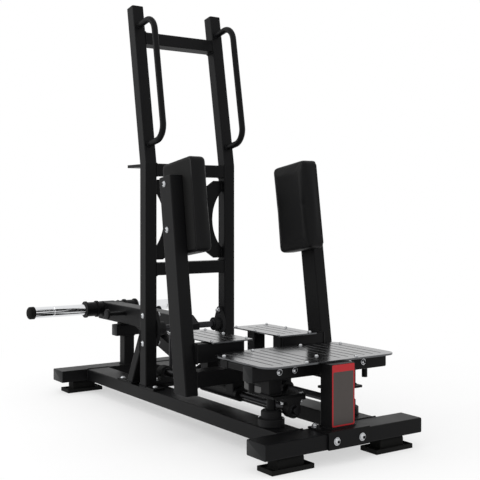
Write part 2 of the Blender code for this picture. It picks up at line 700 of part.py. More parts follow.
def add_weight_arm():
    """The lifting arm, its strut and sleeve hub in one weldment, bored for its shaft."""
    pivot = Vector((0, TOWER_Y, ARM_PIVOT_HEIGHT))
    tail = SLEEVE_Y + ARM_TAIL
    path = [pivot - Vector((0, ARM_FRONT_REACH, 0)), (0, tail, ARM_PIVOT_HEIGHT)]
    arm = finish_piece(
        tube(ARM_TUBE_SIZE, ARM_TUBE_SIZE, path, (1, 0, 0)), "weight_arm", "black_powder_coat", pivot)
    nose = Vector((pivot.y - ARM_FRONT_REACH, pivot.z + ARM_NOSE_RISE))
    brow = Vector((pivot.y + ARM_NOSE_RUN, pivot.z + ARM_TUBE_SIZE / 2))
    low, high = 2 * nose - brow, 2 * brow - nose
    cut(arm, sheet([low, high, (low.x, high.y)], 2 * ARM_TUBE_SIZE, side_frame((-ARM_TUBE_SIZE, 0, 0))))
    strut_front = pivot + Vector((0, ARM_STRUT_FRONT, -ARM_STRUT_DROP))
    inside = ARM_BOTTOM + TUBE_CORNER * 2
    strut_end = Vector((0, REST_Y - REST_POST_SIZE / 2 - ARM_STRUT_SETBACK, inside))
    weld(arm, tube(
        ARM_STRUT_SIZE, ARM_STRUT_SIZE, [strut_front, strut_end], (1, 0, 0),
        start_normal=(0, 1, 0), end_normal=(0, 0, 1)))
    post_y = strut_front.y + ARM_STRUT_POST / 2
    weld(arm, tube(
        ARM_STRUT_SIZE - 2 * TUBE_CORNER, ARM_STRUT_POST, [(0, post_y, strut_front.z), (0, post_y, inside)],
        (1, 0, 0)))
    hub = Vector((SLEEVE_HUB_HALF, 0, 0))
    axle = Vector((0, SLEEVE_Y, SLEEVE_HEIGHT))
    weld(arm, round_bar(axle - hub, axle + hub, SLEEVE_HUB_DIAMETER, SLEEVE_SIDES))
    through = Vector((ARM_TUBE_SIZE, 0, 0))
    cut(arm, bore(pivot - through, pivot + through, SHAFT_DIAMETER, SHAFT_SIDES))
    link_pin = Vector((0, LINK_Y, LINK_TOP_HEIGHT))
    cut(arm, bore(link_pin - through, link_pin + through, LINK_PIN_DIAMETER, SHAFT_SIDES))
    shaft_end = Vector((UPRIGHT_INNER - 2 * GAP, 0, 0))
    finish_piece(
        round_bar(pivot - shaft_end, pivot + shaft_end, SHAFT_DIAMETER, SHAFT_SIDES), "arm_shaft",
        "zinc_steel", pivot)
    pin_end = Vector((CRANK_PIN_OFFSET + LINK_WIDTH, 0, 0))
    finish_piece(
        round_bar(link_pin - pin_end, link_pin + pin_end, LINK_PIN_DIAMETER, SHAFT_SIDES), "link_pin",
        "zinc_steel", pivot)


def add_sleeves():
    """On each end of the hub a collar, a chrome sleeve for the plates and its end cap."""
    pivot = (0, TOWER_Y, ARM_PIVOT_HEIGHT)
    for side in (-1, 1):
        out = Vector((side, 0, 0))
        axle = Vector((0, SLEEVE_Y, SLEEVE_HEIGHT))
        lip, body = COLLAR_DIAMETER / 2, COLLAR_BODY_DIAMETER / 2
        eye = (SLEEVE_DIAMETER / 2 + GAP) / math.cos(math.pi / SLEEVE_SIDES)
        collar = [
            (eye, 0), (lip, 0), (lip, COLLAR_LIP), (body, COLLAR_LIP), (body, COLLAR_LENGTH - COLLAR_LIP),
            (lip, COLLAR_LENGTH - COLLAR_LIP), (lip, COLLAR_LENGTH), (eye, COLLAR_LENGTH), (eye, 0)]
        start = axle + out * COLLAR_START
        finish_piece(
            turned(collar, start, out, SLEEVE_SIDES), sided(side) + "_sleeve_collar", "black_powder_coat",
            pivot)
        length = COLLAR_LENGTH + SLEEVE_LENGTH
        full, thin = SLEEVE_DIAMETER / 2, SLEEVE_DIAMETER / 2 - SLEEVE_GROOVE_DEPTH
        groove = COLLAR_LENGTH + SLEEVE_GROOVE_REACH
        groove_end = groove + SLEEVE_GROOVE_WIDTH
        sleeve = [
            (0, 0), (full, 0), (full, groove), (thin, groove), (thin, groove_end), (full, groove_end),
            (full, length), (0, length)]
        finish_piece(
            turned(sleeve, start, out, SLEEVE_SIDES), sided(side) + "_weight_sleeve", "chrome", pivot)
        end = start + out * length
        cap_radius, cap_round = SLEEVE_CAP_DIAMETER / 2, SLEEVE_CAP_ROUNDING
        cap = [(0, 0), (cap_radius, 0)]
        cap_centre = (cap_radius - cap_round, SLEEVE_CAP_LENGTH - cap_round)
        cap += arc(cap_centre, cap_round, 0, math.pi / 2, CAP_STEPS)
        cap += [(0, SLEEVE_CAP_LENGTH)]
        finish_piece(
            turned(cap, end + out * GAP, out, SLEEVE_SIDES), sided(side) + "_sleeve_cap", "black_rubber",
            pivot)


def add_band_pegs():
    """A peg with a disc on each side of the weight arm."""
    pivot = (0, TOWER_Y, ARM_PIVOT_HEIGHT)
    for side in (-1, 1):
        out = Vector((side, 0, 0))
        foot = Vector((side * (ARM_TUBE_SIZE / 2 + GAP), PEG_Y, SLEEVE_HEIGHT))
        rod_radius, disc = PEG_ROD_DIAMETER / 2, PEG_DISC_DIAMETER / 2
        inner = PEG_REACH - PEG_DISC_THICKNESS
        profile = [
            (0, 0), (rod_radius, 0), (rod_radius, inner), (disc, inner), (disc, PEG_REACH), (0, PEG_REACH)]
        finish_piece(
            turned(profile, foot, out, SHAFT_SIDES), sided(side) + "_band_peg", "black_powder_coat", pivot)


def add_lever(side):
    """One lever weldment: leaned tube, foot beam, cross tube, two struts and the tube round its shaft."""
    axis = Vector((side * LEVER_SHAFT_OFFSET, 0, LEVER_SHAFT_HEIGHT))
    inner, outer = side * LEVER_INNER, side * LEVER_OUTER
    middle = (inner + outer) / 2
    foot = Vector((middle, LEVER_BOTTOM_Y, LEVER_BOTTOM))
    head = foot + LEVER_DIRECTION * LEVER_LENGTH
    lever = finish_piece(
        tube(LEVER_WIDTH, LEVER_DEPTH, [foot, head], (1, 0, 0), start_normal=(0, 0, 1)),
        sided(side) + "_lever", "black_powder_coat", axis)
    inside = inner + side * TUBE_CORNER * 2
    beam_y = FOOT_BEAM_FRONT + FOOT_BEAM_DEPTH / 2
    beam_z = FOOT_BEAM_TOP - FOOT_BEAM_HEIGHT / 2
    beam = [(side * FOOT_BEAM_INNER, beam_y, beam_z), (inside, beam_y, beam_z)]
    weld(lever, tube(FOOT_BEAM_DEPTH, FOOT_BEAM_HEIGHT, beam, (0, 1, 0)))
    cross_z = CROSS_TUBE_BOTTOM + CROSS_TUBE_HEIGHT / 2
    cross_y = LEVER_BOTTOM_Y + (cross_z - LEVER_BOTTOM) * math.tan(LEVER_LEAN)
    cross = [(axis.x, cross_y, cross_z), (inside, cross_y, cross_z)]
    weld(lever, tube(LEVER_DEPTH - 2 * TUBE_CORNER, CROSS_TUBE_HEIGHT, cross, (0, 1, 0)))
    front_strut_y = FOOT_BEAM_FRONT + STRUT_SIZE / 2 + TUBE_CORNER
    for place, top in ((front_strut_y, FOOT_BEAM_TOP - TUBE_CORNER), (REAR_STRUT_Y, FOOT_BEAM_TOP)):
        weld(lever, tube(STRUT_SIZE, STRUT_SIZE, [(axis.x, place, axis.z), (axis.x, place, top)], (1, 0, 0)))
    tube_start, tube_end = (axis.x, PIVOT_TUBE_START, axis.z), (axis.x, PIVOT_TUBE_END, axis.z)
    weld(lever, round_bar(tube_start, tube_end, PIVOT_TUBE_DIAMETER, SLEEVE_SIDES))
    cut(lever, bore(
        (axis.x, PIVOT_TUBE_START - GAP, axis.z), (axis.x, PIVOT_TUBE_END + GAP, axis.z), SHAFT_DIAMETER,
        SHAFT_SIDES))


def add_lever_shaft(side):
    """The shaft of one lever, from ahead of its front bearing to its crank."""
    axis = Vector((side * LEVER_SHAFT_OFFSET, 0, LEVER_SHAFT_HEIGHT))
    start = FRONT_BEARING_Y - BEARING_WIDTH
    finish_piece(
        round_bar((axis.x, start, axis.z), (axis.x, CRANK_BACK, axis.z), SHAFT_DIAMETER, SHAFT_SIDES),
        sided(side) + "_lever_shaft", "zinc_steel", axis)


def add_crank(side):
    """The flat crank on the rear of a lever shaft, with the pin that carries its link."""
    axis = Vector((side * LEVER_SHAFT_OFFSET, 0, LEVER_SHAFT_HEIGHT))
    hub, eye = SHAFT_DIAMETER / 2 + CRANK_THICKNESS, CRANK_EYE_RADIUS
    tilt = math.asin((hub - eye) / CRANK_RADIUS)
    outline = arc((CRANK_RADIUS, 0), eye, tilt - math.pi / 2, math.pi / 2 - tilt, steps=BEND_STEPS)
    outline += arc((0, 0), hub, math.pi / 2 - tilt, 3 * math.pi / 2 + tilt)
    turn = math.pi + HALF_SWING if side > 0 else -HALF_SWING
    lowered = Matrix.Rotation(turn, 4, "Z")
    frame = upright_frame((axis.x, CRANK_BACK, axis.z)) @ lowered
    crank = finish_piece(sheet(outline, CRANK_THICKNESS, frame), sided(side) + "_crank", "cast_black", axis)
    reach = Vector((0, CRANK_THICKNESS * 2, 0))
    middle = Vector((axis.x, CRANK_BACK, axis.z))
    cut(crank, bore(middle - reach, middle + reach, SHAFT_DIAMETER, SHAFT_SIDES))
    pin_x = side * CRANK_PIN_OFFSET
    pin_end = LINK_Y + LINK_WIDTH / 2 + LINK_PLAY
    weld(crank, round_bar(
        (pin_x, CRANK_BACK - CRANK_THICKNESS / 2, CRANK_PIN_HEIGHT), (pin_x, pin_end, CRANK_PIN_HEIGHT),
        CRANK_PIN_DIAMETER, SHAFT_SIDES))


def groove(plate, x, start, end, top):
    """Mill one groove along a tread, from start to end."""
    half = GROOVE_WIDTH / 2
    cut(plate, box((x - half, start, top - GROOVE_DEPTH), (x + half, end, top + GROOVE_DEPTH)))


def add_foot_plate(side):
    """The grooved tread that the user stands on, carried by one lever."""
    axis = Vector((side * LEVER_SHAFT_OFFSET, 0, LEVER_SHAFT_HEIGHT))
    reach = sorted((side * FOOT_PLATE_INNER, side * FOOT_PLATE_OUTER))
    outline = rounded_rectangle(
        (reach[0], FOOT_PLATE_FRONT), (reach[1], FOOT_PLATE_BACK), [FOOT_PLATE_CORNER] * 4)
    frame = Matrix.Translation((0, 0, FOOT_PLATE_TOP - FOOT_PLATE_THICKNESS))
    plate = finish_piece(
        sheet(outline, FOOT_PLATE_THICKNESS, frame), sided(side) + "_foot_plate", "brushed_aluminium", axis)
    start, end = FOOT_PLATE_FRONT + FOOT_PLATE_GROOVE_MARGIN, FOOT_PLATE_BACK - FOOT_PLATE_GROOVE_MARGIN
    for number in range(FOOT_PLATE_GROOVES):
        x = sum(reach) / 2 + (number - (FOOT_PLATE_GROOVES - 1) / 2) * GROOVE_PITCH
        groove(plate, x, start, end, FOOT_PLATE_TOP)


def add_thigh_pad(side):
    """The upholstered pad on the inner side of one lever, leaning with it, rounded on the user's side."""
    axis = Vector((side * LEVER_SHAFT_OFFSET, 0, LEVER_SHAFT_HEIGHT))
    half_depth, half_height = PAD_DEPTH / 2, PAD_HEIGHT / 2
    outline = rounded_rectangle((-half_depth, -half_height), (half_depth, half_height), [PAD_CORNER] * 4)
    middle = Vector((0, LEVER_BOTTOM_Y - PAD_FORWARD, LEVER_BOTTOM)) + LEVER_DIRECTION * PAD_CENTRE_ALONG
    middle.x = side * (LEVER_INNER - GAP)
    inward = Vector((-side, 0, 0))
    frame = Matrix((LEVER_DIRECTION.cross(inward), LEVER_DIRECTION, inward)).transposed().to_4x4()
    bm = sheet(outline, PAD_THICKNESS, Matrix.Translation(middle) @ frame)
    cushion = min(bm.faces, key=lambda face: side * face.calc_center_median().x)
    bmesh.ops.bevel(
        bm, geom=cushion.edges[:], offset=PAD_ROUNDING, segments=CORNER_STEPS, profile=0.5, affect="EDGES",
        material=-1)
    finish_piece(bm, sided(side) + "_thigh_pad", "pad_vinyl", axis)


def add_link(side):
    """The short rod that lifts the arm, with an eye on the arm's pin and a wide eye round the crank's."""
    x = side * CRANK_PIN_OFFSET
    top, bottom = Vector((x, LINK_Y, LINK_TOP_HEIGHT)), Vector((x, LINK_Y, CRANK_PIN_HEIGHT))
    half = LINK_WIDTH / 2
    eye = LINK_EYE_RADIUS
    rod_end = Vector((0, 0, eye - LINK_ROD_INSET))
    link = finish_piece(
        tube(LINK_WIDTH, LINK_WIDTH, [bottom + rod_end, top - rod_end], (1, 0, 0), corner=LINK_WIDTH / 4),
        sided(side) + "_link", "zinc_steel", top)
    across, deep = Vector((half, 0, 0)), Vector((0, half, 0))
    weld(link, round_bar(top - across, top + across, 2 * eye, EYE_SIDES))
    weld(link, round_bar(bottom - deep, bottom + deep, 2 * eye, EYE_SIDES))
    cut(link, bore(top - 2 * across, top + 2 * across, LINK_PIN_DIAMETER, SHAFT_SIDES))
    cut(link, bore(bottom - 2 * deep, bottom + 2 * deep, CRANK_PIN_DIAMETER + 2 * LINK_PLAY, EYE_SIDES))


def add_platform():
    """The fixed tread plate on its frame, with a peg hanging from each side."""
    outline = rounded_rectangle(
        (-PLATFORM_HALF_WIDTH, PLATFORM_FRONT), (PLATFORM_HALF_WIDTH, PLATFORM_BACK),
        [PLATFORM_FRONT_CORNER, PLATFORM_FRONT_CORNER, PLATFORM_BACK_CORNER, PLATFORM_BACK_CORNER])
    frame = Matrix.Translation((0, 0, PLATFORM_TOP - PLATFORM_THICKNESS))
    plate = finish_piece(sheet(outline, PLATFORM_THICKNESS, frame), "platform_plate", "brushed_aluminium")
    start, end = PLATFORM_FRONT + PLATFORM_GROOVE_MARGIN, PLATFORM_BACK - PLATFORM_GROOVE_MARGIN
    for side in (-1, 1):
        for number in range(PLATFORM_GROOVES):
            groove(plate, side * (PLATFORM_GROOVE_FIRST + number * GROOVE_PITCH), start, end, PLATFORM_TOP)
    half, low, high = PLATFORM_FRAME_HALF_WIDTH, PLATFORM_FRAME_BOTTOM, PLATFORM_FRAME_TOP
    middle = (low + high) / 2
    front = PLATFORM_FRAME_FRONT + PLATFORM_FRONT_BEAM / 2
    beam = [(-half, front, middle), (half, front, middle)]
    frame = finish_piece(
        tube(PLATFORM_FRONT_BEAM, PLATFORM_TUBE_HEIGHT, beam, (0, 1, 0)), "platform_frame",
        "black_powder_coat")
    back = PLATFORM_FRAME_BACK - PLATFORM_BACK_BEAM / 2
    back_half = PLATFORM_BACK_BEAM_LENGTH / 2
    weld(frame, tube(
        PLATFORM_BACK_BEAM, PLATFORM_TUBE_HEIGHT - 2 * GAP,
        [(-back_half, back, middle), (back_half, back, middle)], (0, 1, 0)))
    wing_middle = high - PLATFORM_WING_HEIGHT / 2
    wing_bar = PLATFORM_WING_BACK - PLATFORM_WING_BAR / 2
    for side in (-1, 1):
        x = side * LEG_OFFSET
        weld(frame, tube(
            LEG_SIZE, PLATFORM_TUBE_HEIGHT - GAP, [(x, front, middle), (x, back, middle)], (1, 0, 0)))
        bar = [(x, wing_bar, wing_middle), (side * half, wing_bar, wing_middle)]
        weld(frame, tube(PLATFORM_WING_BAR, PLATFORM_WING_HEIGHT, bar, (0, 1, 0)))
        wing_x = side * (half - PLATFORM_WING_WIDTH / 2)
        weld(frame, tube(
            PLATFORM_WING_WIDTH - TUBE_CORNER, PLATFORM_WING_HEIGHT - 2 * GAP,
            [(wing_x, front, wing_middle), (wing_x, wing_bar, wing_middle)], (1, 0, 0)))
        weld(frame, round_bar(
            (side * PLATFORM_PEG_X, PLATFORM_PEG_Y, low - PLATFORM_PEG_LENGTH),
            (side * PLATFORM_PEG_X, PLATFORM_PEG_Y, wing_middle), PLATFORM_PEG_DIAMETER, SHAFT_SIDES))


def add_platform_post():
    """The post under the platform's front edge, welded on a saddle over the entry crossmember."""
    half = SADDLE_WIDTH / 2
    flange_top = BASE_TOP + GAP + SADDLE_THICKNESS
    post = finish_piece(
        box((-half, SADDLE_FRONT, BASE_TOP + GAP), (half, BASE_ENTRY + BASE_TUBE_WIDTH, flange_top)),
        "platform_post", "black_powder_coat")
    apron_top = BASE_TOP + SADDLE_THICKNESS
    apron_back = SADDLE_FRONT + SADDLE_THICKNESS
    weld(post, box((-half, SADDLE_FRONT, FOOT_HEIGHT), (half, apron_back, apron_top)))
    middle = POST_FRONT + POST_DEPTH / 2
    weld(post, tube(
        POST_WIDTH, POST_DEPTH, [(0, middle, flange_top - GAP), (0, middle, PLATFORM_FRAME_TOP)], (1, 0, 0)))


def add_platform_legs():
    """A leg over each rail: post, the plate that carries the front bearing, and a stub in its mount."""
    for side in (-1, 1):
        x = side * LEG_OFFSET
        plate_low, plate_high = FRONT_BEARING_SEAT, FRONT_BEARING_SEAT + LEG_PLATE_THICKNESS
        leg = finish_piece(
            tube(LEG_SIZE, LEG_SIZE, [(x, LEG_Y, plate_high - GAP), (x, LEG_Y, PLATFORM_FRAME_BOTTOM - GAP)],
                 (1, 0, 0)),
            sided(side) + "_platform_leg", "black_powder_coat")
        inner = LEVER_SHAFT_OFFSET - BEARING_LENGTH / 2
        outer = LEG_OFFSET + LEG_SIZE / 2 + TUBE_CORNER
        reach = sorted((side * inner, side * outer))
        plate_front = FRONT_BEARING_Y - BEARING_WIDTH / 2
        weld(leg, box((reach[0], plate_front, plate_low), (reach[1], LEG_PLATE_BACK, plate_high)))
        foot = BASE_TOP + GAP
        weld(leg, round_bar(
            (x, LEG_Y, foot + GAP), (x, LEG_Y, plate_low + TUBE_CORNER), LEG_NECK_DIAMETER, SHAFT_SIDES))
        rim_low, rim_high = MOUNT_SHOULDER + MOUNT_CHAMFER, MOUNT_HEIGHT - MOUNT_CHAMFER
        profile = [
            (0, 0), (MOUNT_RADIUS, 0), (MOUNT_RADIUS, MOUNT_SHOULDER), (MOUNT_RIM_RADIUS, rim_low),
            (MOUNT_RIM_RADIUS, rim_high), (MOUNT_RIM_RADIUS - MOUNT_CHAMFER, MOUNT_HEIGHT), (0, MOUNT_HEIGHT)]
        mount = finish_piece(
            turned(profile, (x, LEG_Y, foot), (0, 0, 1), SLEEVE_SIDES), sided(side) + "_leg_mount",
            "cast_black")
        cut(mount, bore((x, LEG_Y, 0), (x, LEG_Y, plate_low), LEG_NECK_DIAMETER, SHAFT_SIDES))


def main():
    """Clear the scene and build the machine round its own empty."""
    global MACHINE
    for old in list(bpy.data.objects):
        bpy.data.objects.remove(old)
    MACHINE = bpy.data.objects.new("machine", None)
    MACHINE.location = (0, -MIDDLE_Y, 0)
    bpy.context.scene.collection.objects.link(MACHINE)
    add_materials()
    add_base()
    add_feet()
    add_uprights()
    add_crossbars()
    add_handles()
    add_panel()
    add_tray()
    add_bearings()
    add_rest()
    add_weight_arm()
    add_sleeves()
    add_band_pegs()
    for side in (-1, 1):
        add_lever(side)
        add_lever_shaft(side)
        add_crank(side)
        add_foot_plate(side)
        add_thigh_pad(side)
        add_link(side)
    add_platform()
    add_platform_post()
    add_platform_legs()


main()
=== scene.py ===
"""The looks of a standing hip abductor machine, built piece by piece round its frame."""

import json
import math

import bmesh
import bpy
from mathutils import Matrix, Vector

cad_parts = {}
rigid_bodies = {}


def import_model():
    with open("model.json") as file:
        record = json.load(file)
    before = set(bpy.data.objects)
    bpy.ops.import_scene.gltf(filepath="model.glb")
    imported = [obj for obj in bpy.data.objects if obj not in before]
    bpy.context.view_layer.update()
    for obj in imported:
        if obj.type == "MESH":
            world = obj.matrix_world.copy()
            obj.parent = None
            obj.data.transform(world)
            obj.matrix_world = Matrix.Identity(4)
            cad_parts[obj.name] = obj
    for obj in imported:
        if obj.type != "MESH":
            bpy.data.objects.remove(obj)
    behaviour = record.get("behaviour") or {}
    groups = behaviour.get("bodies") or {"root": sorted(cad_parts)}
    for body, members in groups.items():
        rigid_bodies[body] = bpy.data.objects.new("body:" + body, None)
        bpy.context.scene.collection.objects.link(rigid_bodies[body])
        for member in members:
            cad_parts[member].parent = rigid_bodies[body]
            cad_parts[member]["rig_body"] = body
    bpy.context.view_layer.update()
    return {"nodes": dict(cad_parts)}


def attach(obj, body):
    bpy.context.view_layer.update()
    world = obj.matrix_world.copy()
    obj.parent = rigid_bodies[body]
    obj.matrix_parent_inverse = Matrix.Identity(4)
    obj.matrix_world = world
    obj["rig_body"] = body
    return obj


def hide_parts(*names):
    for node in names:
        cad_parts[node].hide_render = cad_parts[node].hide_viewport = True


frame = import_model()


# Base: two crossmembers and two rails of rectangular steel tube, welded up and
# powder coated satin black. The coat is baked paint powder, smooth to the hand
# with a fine ripple, and it turns soft grey where light glances off it.

def linear(code):
    """An sRGB hex colour as the linear red, green, blue and alpha that a shader takes."""
    parts = [int(code[place:place + 2], 16) / 255 for place in (1, 3, 5)]
    return [part / 12.92 if part <= 0.04045 else ((part + 0.055) / 1.055) ** 2.4 for part in parts] + [1.0]


def add(tree, kind, inputs, **settings):
    """Add a node with its settings; each input is a value or the socket that feeds it."""
    made = tree.nodes.new("ShaderNode" + kind)
    for name, value in settings.items():
        setattr(made, name, value)
    for name, value in inputs.items():
        socket = made.inputs[name]
        if isinstance(value, bpy.types.NodeSocket):
            tree.links.new(value, socket)
        else:
            socket.default_value = value
    return made


def start_finish(name, **values):
    """A new finish with its shader's plain values, and the place on a piece that patterns hang on."""
    finish = bpy.data.materials.new(name)
    finish.use_nodes = True
    tree = finish.node_tree
    shader = tree.nodes["Principled BSDF"]
    for socket, value in values.items():
        shader.inputs[socket.replace("_", " ")].default_value = value
    return finish, tree, shader, add(tree, "TexCoord", {}).outputs["Object"]


def feed(tree, shader, **sources):
    """Lead what a finish's nodes give into its shader's sockets."""
    for socket, source in sources.items():
        tree.links.new(source, shader.inputs[socket.replace("_", " ")])


def dress(finish, *names):
    """Give solids of the frame a finish."""
    for name in names:
        frame["nodes"][name].data.materials.clear()
        frame["nodes"][name].data.materials.append(finish)


POWDER_RIPPLE = 0.005
POWDER_CLOUD = 0.120
powder_coat, tree, shader, place = start_finish("satin_black_powder_coat", IOR=1.5, Specular_IOR_Level=0.085)
cloud = add(tree, "TexNoise", {"Vector": place, "Scale": 1 / POWDER_CLOUD, "Detail": 3.0}).outputs[0]
sheen = add(tree, "MapRange", {"Value": cloud, "To Min": 0.36, "To Max": 0.48})
# The ripple of the cured powder is 1 to 2 mm; it is drawn at 5 mm to show.
ripple = add(tree, "TexNoise", {"Vector": place, "Scale": 1 / POWDER_RIPPLE, "Detail": 2.0}).outputs[0]
bump = add(tree, "Bump", {"Height": ripple, "Strength": 0.25, "Distance": 0.0002})
# Mix takes its factor at 0 and two colours at 6 and 7, and gives the colour at 2.
tone = add(tree, "Mix", {0: cloud, 6: linear("#0b0b0c"), 7: linear("#101011")}, data_type="RGBA")
feed(tree, shader, Base_Color=tone.outputs[2], Roughness=sheen.outputs[0], Normal=bump.outputs[0])
dress(powder_coat, "entry_crossmember", "weight_crossmember", "left_rail", "right_rail")
# Faces that meet at less than this are one smooth surface.
SHARP = math.radians(25)


def settle(bm, name, finish, body, slot, *replaced):
    """Turn a finished bmesh into a piece that rides on a body, in place of the named solids."""
    bmesh.ops.recalc_face_normals(bm, faces=bm.faces)
    mesh = bpy.data.meshes.new(name)
    bm.to_mesh(mesh)
    bm.free()
    mesh.shade_smooth()
    mesh.set_sharp_from_angle(angle=SHARP)
    mesh.materials.append(finish)
    piece = bpy.data.objects.new(name, mesh)
    bpy.context.scene.collection.objects.link(piece)
    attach(piece, body)
    if replaced:
        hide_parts(*replaced)
    return piece


def facing(point, direction):
    """The matrix that carries something built up along Z to a point, and turns it to a direction."""
    return Matrix.Translation(point) @ Vector(direction).to_track_quat("Z", "Y").to_matrix().to_4x4()


BEAD, BEAD_STEP = 0.0030, 0.0022
BEAD_SIDES, BEAD_SWELL = 8, 0.14


def bead(bm, start, end):
    """Lay a weld bead from one point to another, rippled by the puddles of the weld."""
    start, end = Vector(start), Vector(end)
    steps = max(2, round((end - start).length / BEAD_STEP))
    step = (end - start) / steps
    before = set(bm.verts)
    rim = bmesh.ops.create_circle(bm, segments=BEAD_SIDES, radius=BEAD, matrix=facing(start, step))["verts"]
    edges = list({edge for vert in rim for edge in vert.link_edges})
    bmesh.ops.spin(bm, geom=rim + edges, cent=start, axis=(0, 0, 1), dvec=step, angle=0, steps=steps)
    made = [vert for vert in bm.verts if vert not in before]
    ends = {edge for vert in made for edge in vert.link_edges if edge.is_boundary}
    bmesh.ops.holes_fill(bm, edges=list(ends))
    for vert in made:
        number = round((vert.co - start).dot(step) / step.length_squared)
        middle = start + step * number
        vert.co = middle + (vert.co - middle) * (1 + BEAD_SWELL * (-1) ** number)


def bead_box(bm, centre, half_a, half_b):
    """Four beads round the end of a rectangular tube, given its two half widths as vectors."""
    centre, half_a, half_b = Vector(centre), Vector(half_a), Vector(half_b)
    corners = [centre + half_a + half_b, centre - half_a + half_b, centre - half_a - half_b,
               centre + half_a - half_b]
    for start, end in zip(corners, corners[1:] + corners[:1]):
        bead(bm, start, end)


CROSS_HALF = 0.324
ENTRY_Y, WEIGHT_Y = -0.81685, 0.68315
BASE_Z = 0.075
RAIL_X, RAIL_ENDS = 0.157, (-0.7667, 0.6330)
RAIL_HALF_WIDTH, RAIL_HALF_HEIGHT = 0.050, 0.025
beads = bmesh.new()
for side in (-1, 1):
    for end in RAIL_ENDS:
        bead_box(beads, (side * RAIL_X, end, BASE_Z), (RAIL_HALF_WIDTH, 0, 0), (0, 0, RAIL_HALF_HEIGHT))
settle(beads, "base_weld_beads", powder_coat, "frame", "frame_black")


# End caps: a moulded polyethylene plug in each open tube end, with a thin
# flange that shows. The plastic is smoother than the coat and a little bluer.
PLASTIC_MOTTLE = 0.030
cap_plastic, tree, shader, place = start_finish(
    "moulded_black_polyethylene", IOR=1.51, Specular_IOR_Level=0.14)
mottle = add(tree, "TexNoise", {"Vector": place, "Scale": 1 / PLASTIC_MOTTLE, "Detail": 4.0}).outputs[0]
sheen = add(tree, "MapRange", {"Value": mottle, "To Min": 0.30, "To Max": 0.42})
tone = add(tree, "Mix", {0: mottle, 6: linear("#0b0c0d"), 7: linear("#121315")}, data_type="RGBA")
feed(tree, shader, Base_Color=tone.outputs[2], Roughness=sheen.outputs[0])
CAP_THICKNESS = 0.0018
CAP_CORNER = 0.005
CAP_EDGE = 0.0007
FLAT_CAP, BEAM_CAP, SQUARE_CAP = (0.099, 0.049), (0.052, 0.049), (0.049, 0.049)


def end_cap(bm, place, width, depth):
    """Set a cap on a tube's end; place has its Z out of the tube and its X along the width."""
    old_verts, old_faces = set(bm.verts), set(bm.faces)
    corners = bmesh.ops.create_grid(bm, x_segments=1, y_segments=1, size=0.5)["verts"]
    bmesh.ops.scale(bm, vec=(width, depth, 1), verts=corners)
    bmesh.ops.bevel(bm, geom=corners, offset=CAP_CORNER, segments=4, profile=0.5, affect="VERTICES",
                    material=-1)
    flange = next(face for face in bm.faces if face not in old_faces)
    tip = bmesh.ops.extrude_face_region(bm, geom=[flange])["geom"]
    top = next(part for part in tip if isinstance(part, bmesh.types.BMFace))
    bmesh.ops.translate(bm, vec=(0, 0, CAP_THICKNESS), verts=top.verts)
    bm.normal_update()
    bmesh.ops.bevel(bm, geom=top.edges[:], offset=CAP_EDGE, segments=2, profile=0.5, affect="EDGES",
                    material=-1)
    bmesh.ops.transform(bm, matrix=place, verts=[vert for vert in bm.verts if vert not in old_verts])


def mirrored(side, point):
    """A place given for the right half, on the side that is asked for."""
    return (side * point[0], point[1], point[2])


PLATFORM_BEAM_END = (0.282, -0.71235, 0.2847)
REST_Y = 0.65815
REST_HEAD_END = (0.0625, REST_Y, 0.2584)
LEAN = math.radians(10)
BEND_Z = 0.984
TOWER_Y = 0.11615
UPRIGHT_X = 0.185
UPRIGHT_TOP = 0.647
lean_up = Vector((0, math.sin(LEAN), math.cos(LEAN)))
lean_out = Vector((0, -math.cos(LEAN), math.sin(LEAN)))
bend = Vector((0, TOWER_Y, BEND_Z))
caps = bmesh.new()
for side in (-1, 1):
    out = (side, 0, 0)
    for end in (ENTRY_Y, WEIGHT_Y):
        end_cap(caps, facing((side * CROSS_HALF, end, BASE_Z), out), *FLAT_CAP)
    top = bend + lean_up * UPRIGHT_TOP + Vector((side * UPRIGHT_X, 0, 0))
    end_cap(caps, facing(top, lean_up), *SQUARE_CAP)
    end_cap(caps, facing(mirrored(side, PLATFORM_BEAM_END), out), *BEAM_CAP)
    end_cap(caps, facing(mirrored(side, REST_HEAD_END), out), *SQUARE_CAP)
settle(caps, "frame_end_caps", cap_plastic, "frame", "black_rubber")


# Feet: a moulded rubber tray with a rounded block under each crossmember end.
# The rubber is matt and a little grey, with the fine grain of its mould, and
# it is pressed over the tube's underside.
RUBBER_GRAIN = 0.0025
rubber, tree, shader, place = start_finish(
    "moulded_black_rubber", IOR=1.52, Roughness=0.78, Specular_IOR_Level=0.12)
grain = add(tree, "TexNoise", {"Vector": place, "Scale": 1 / RUBBER_GRAIN, "Detail": 4.0}).outputs[0]
bump = add(tree, "Bump", {"Height": grain, "Strength": 0.4, "Distance": 0.0003})
tone = add(tree, "Mix", {0: grain, 6: linear("#0c0c0c"), 7: linear("#151514")}, data_type="RGBA")
feed(tree, shader, Base_Color=tone.outputs[2], Normal=bump.outputs[0])
# Edges that turn by more than this are rounded in the mould; the facets of round forms are not.
ROUNDED_FROM = math.radians(40)
MERGE, FLAT = 0.00001, math.radians(1)


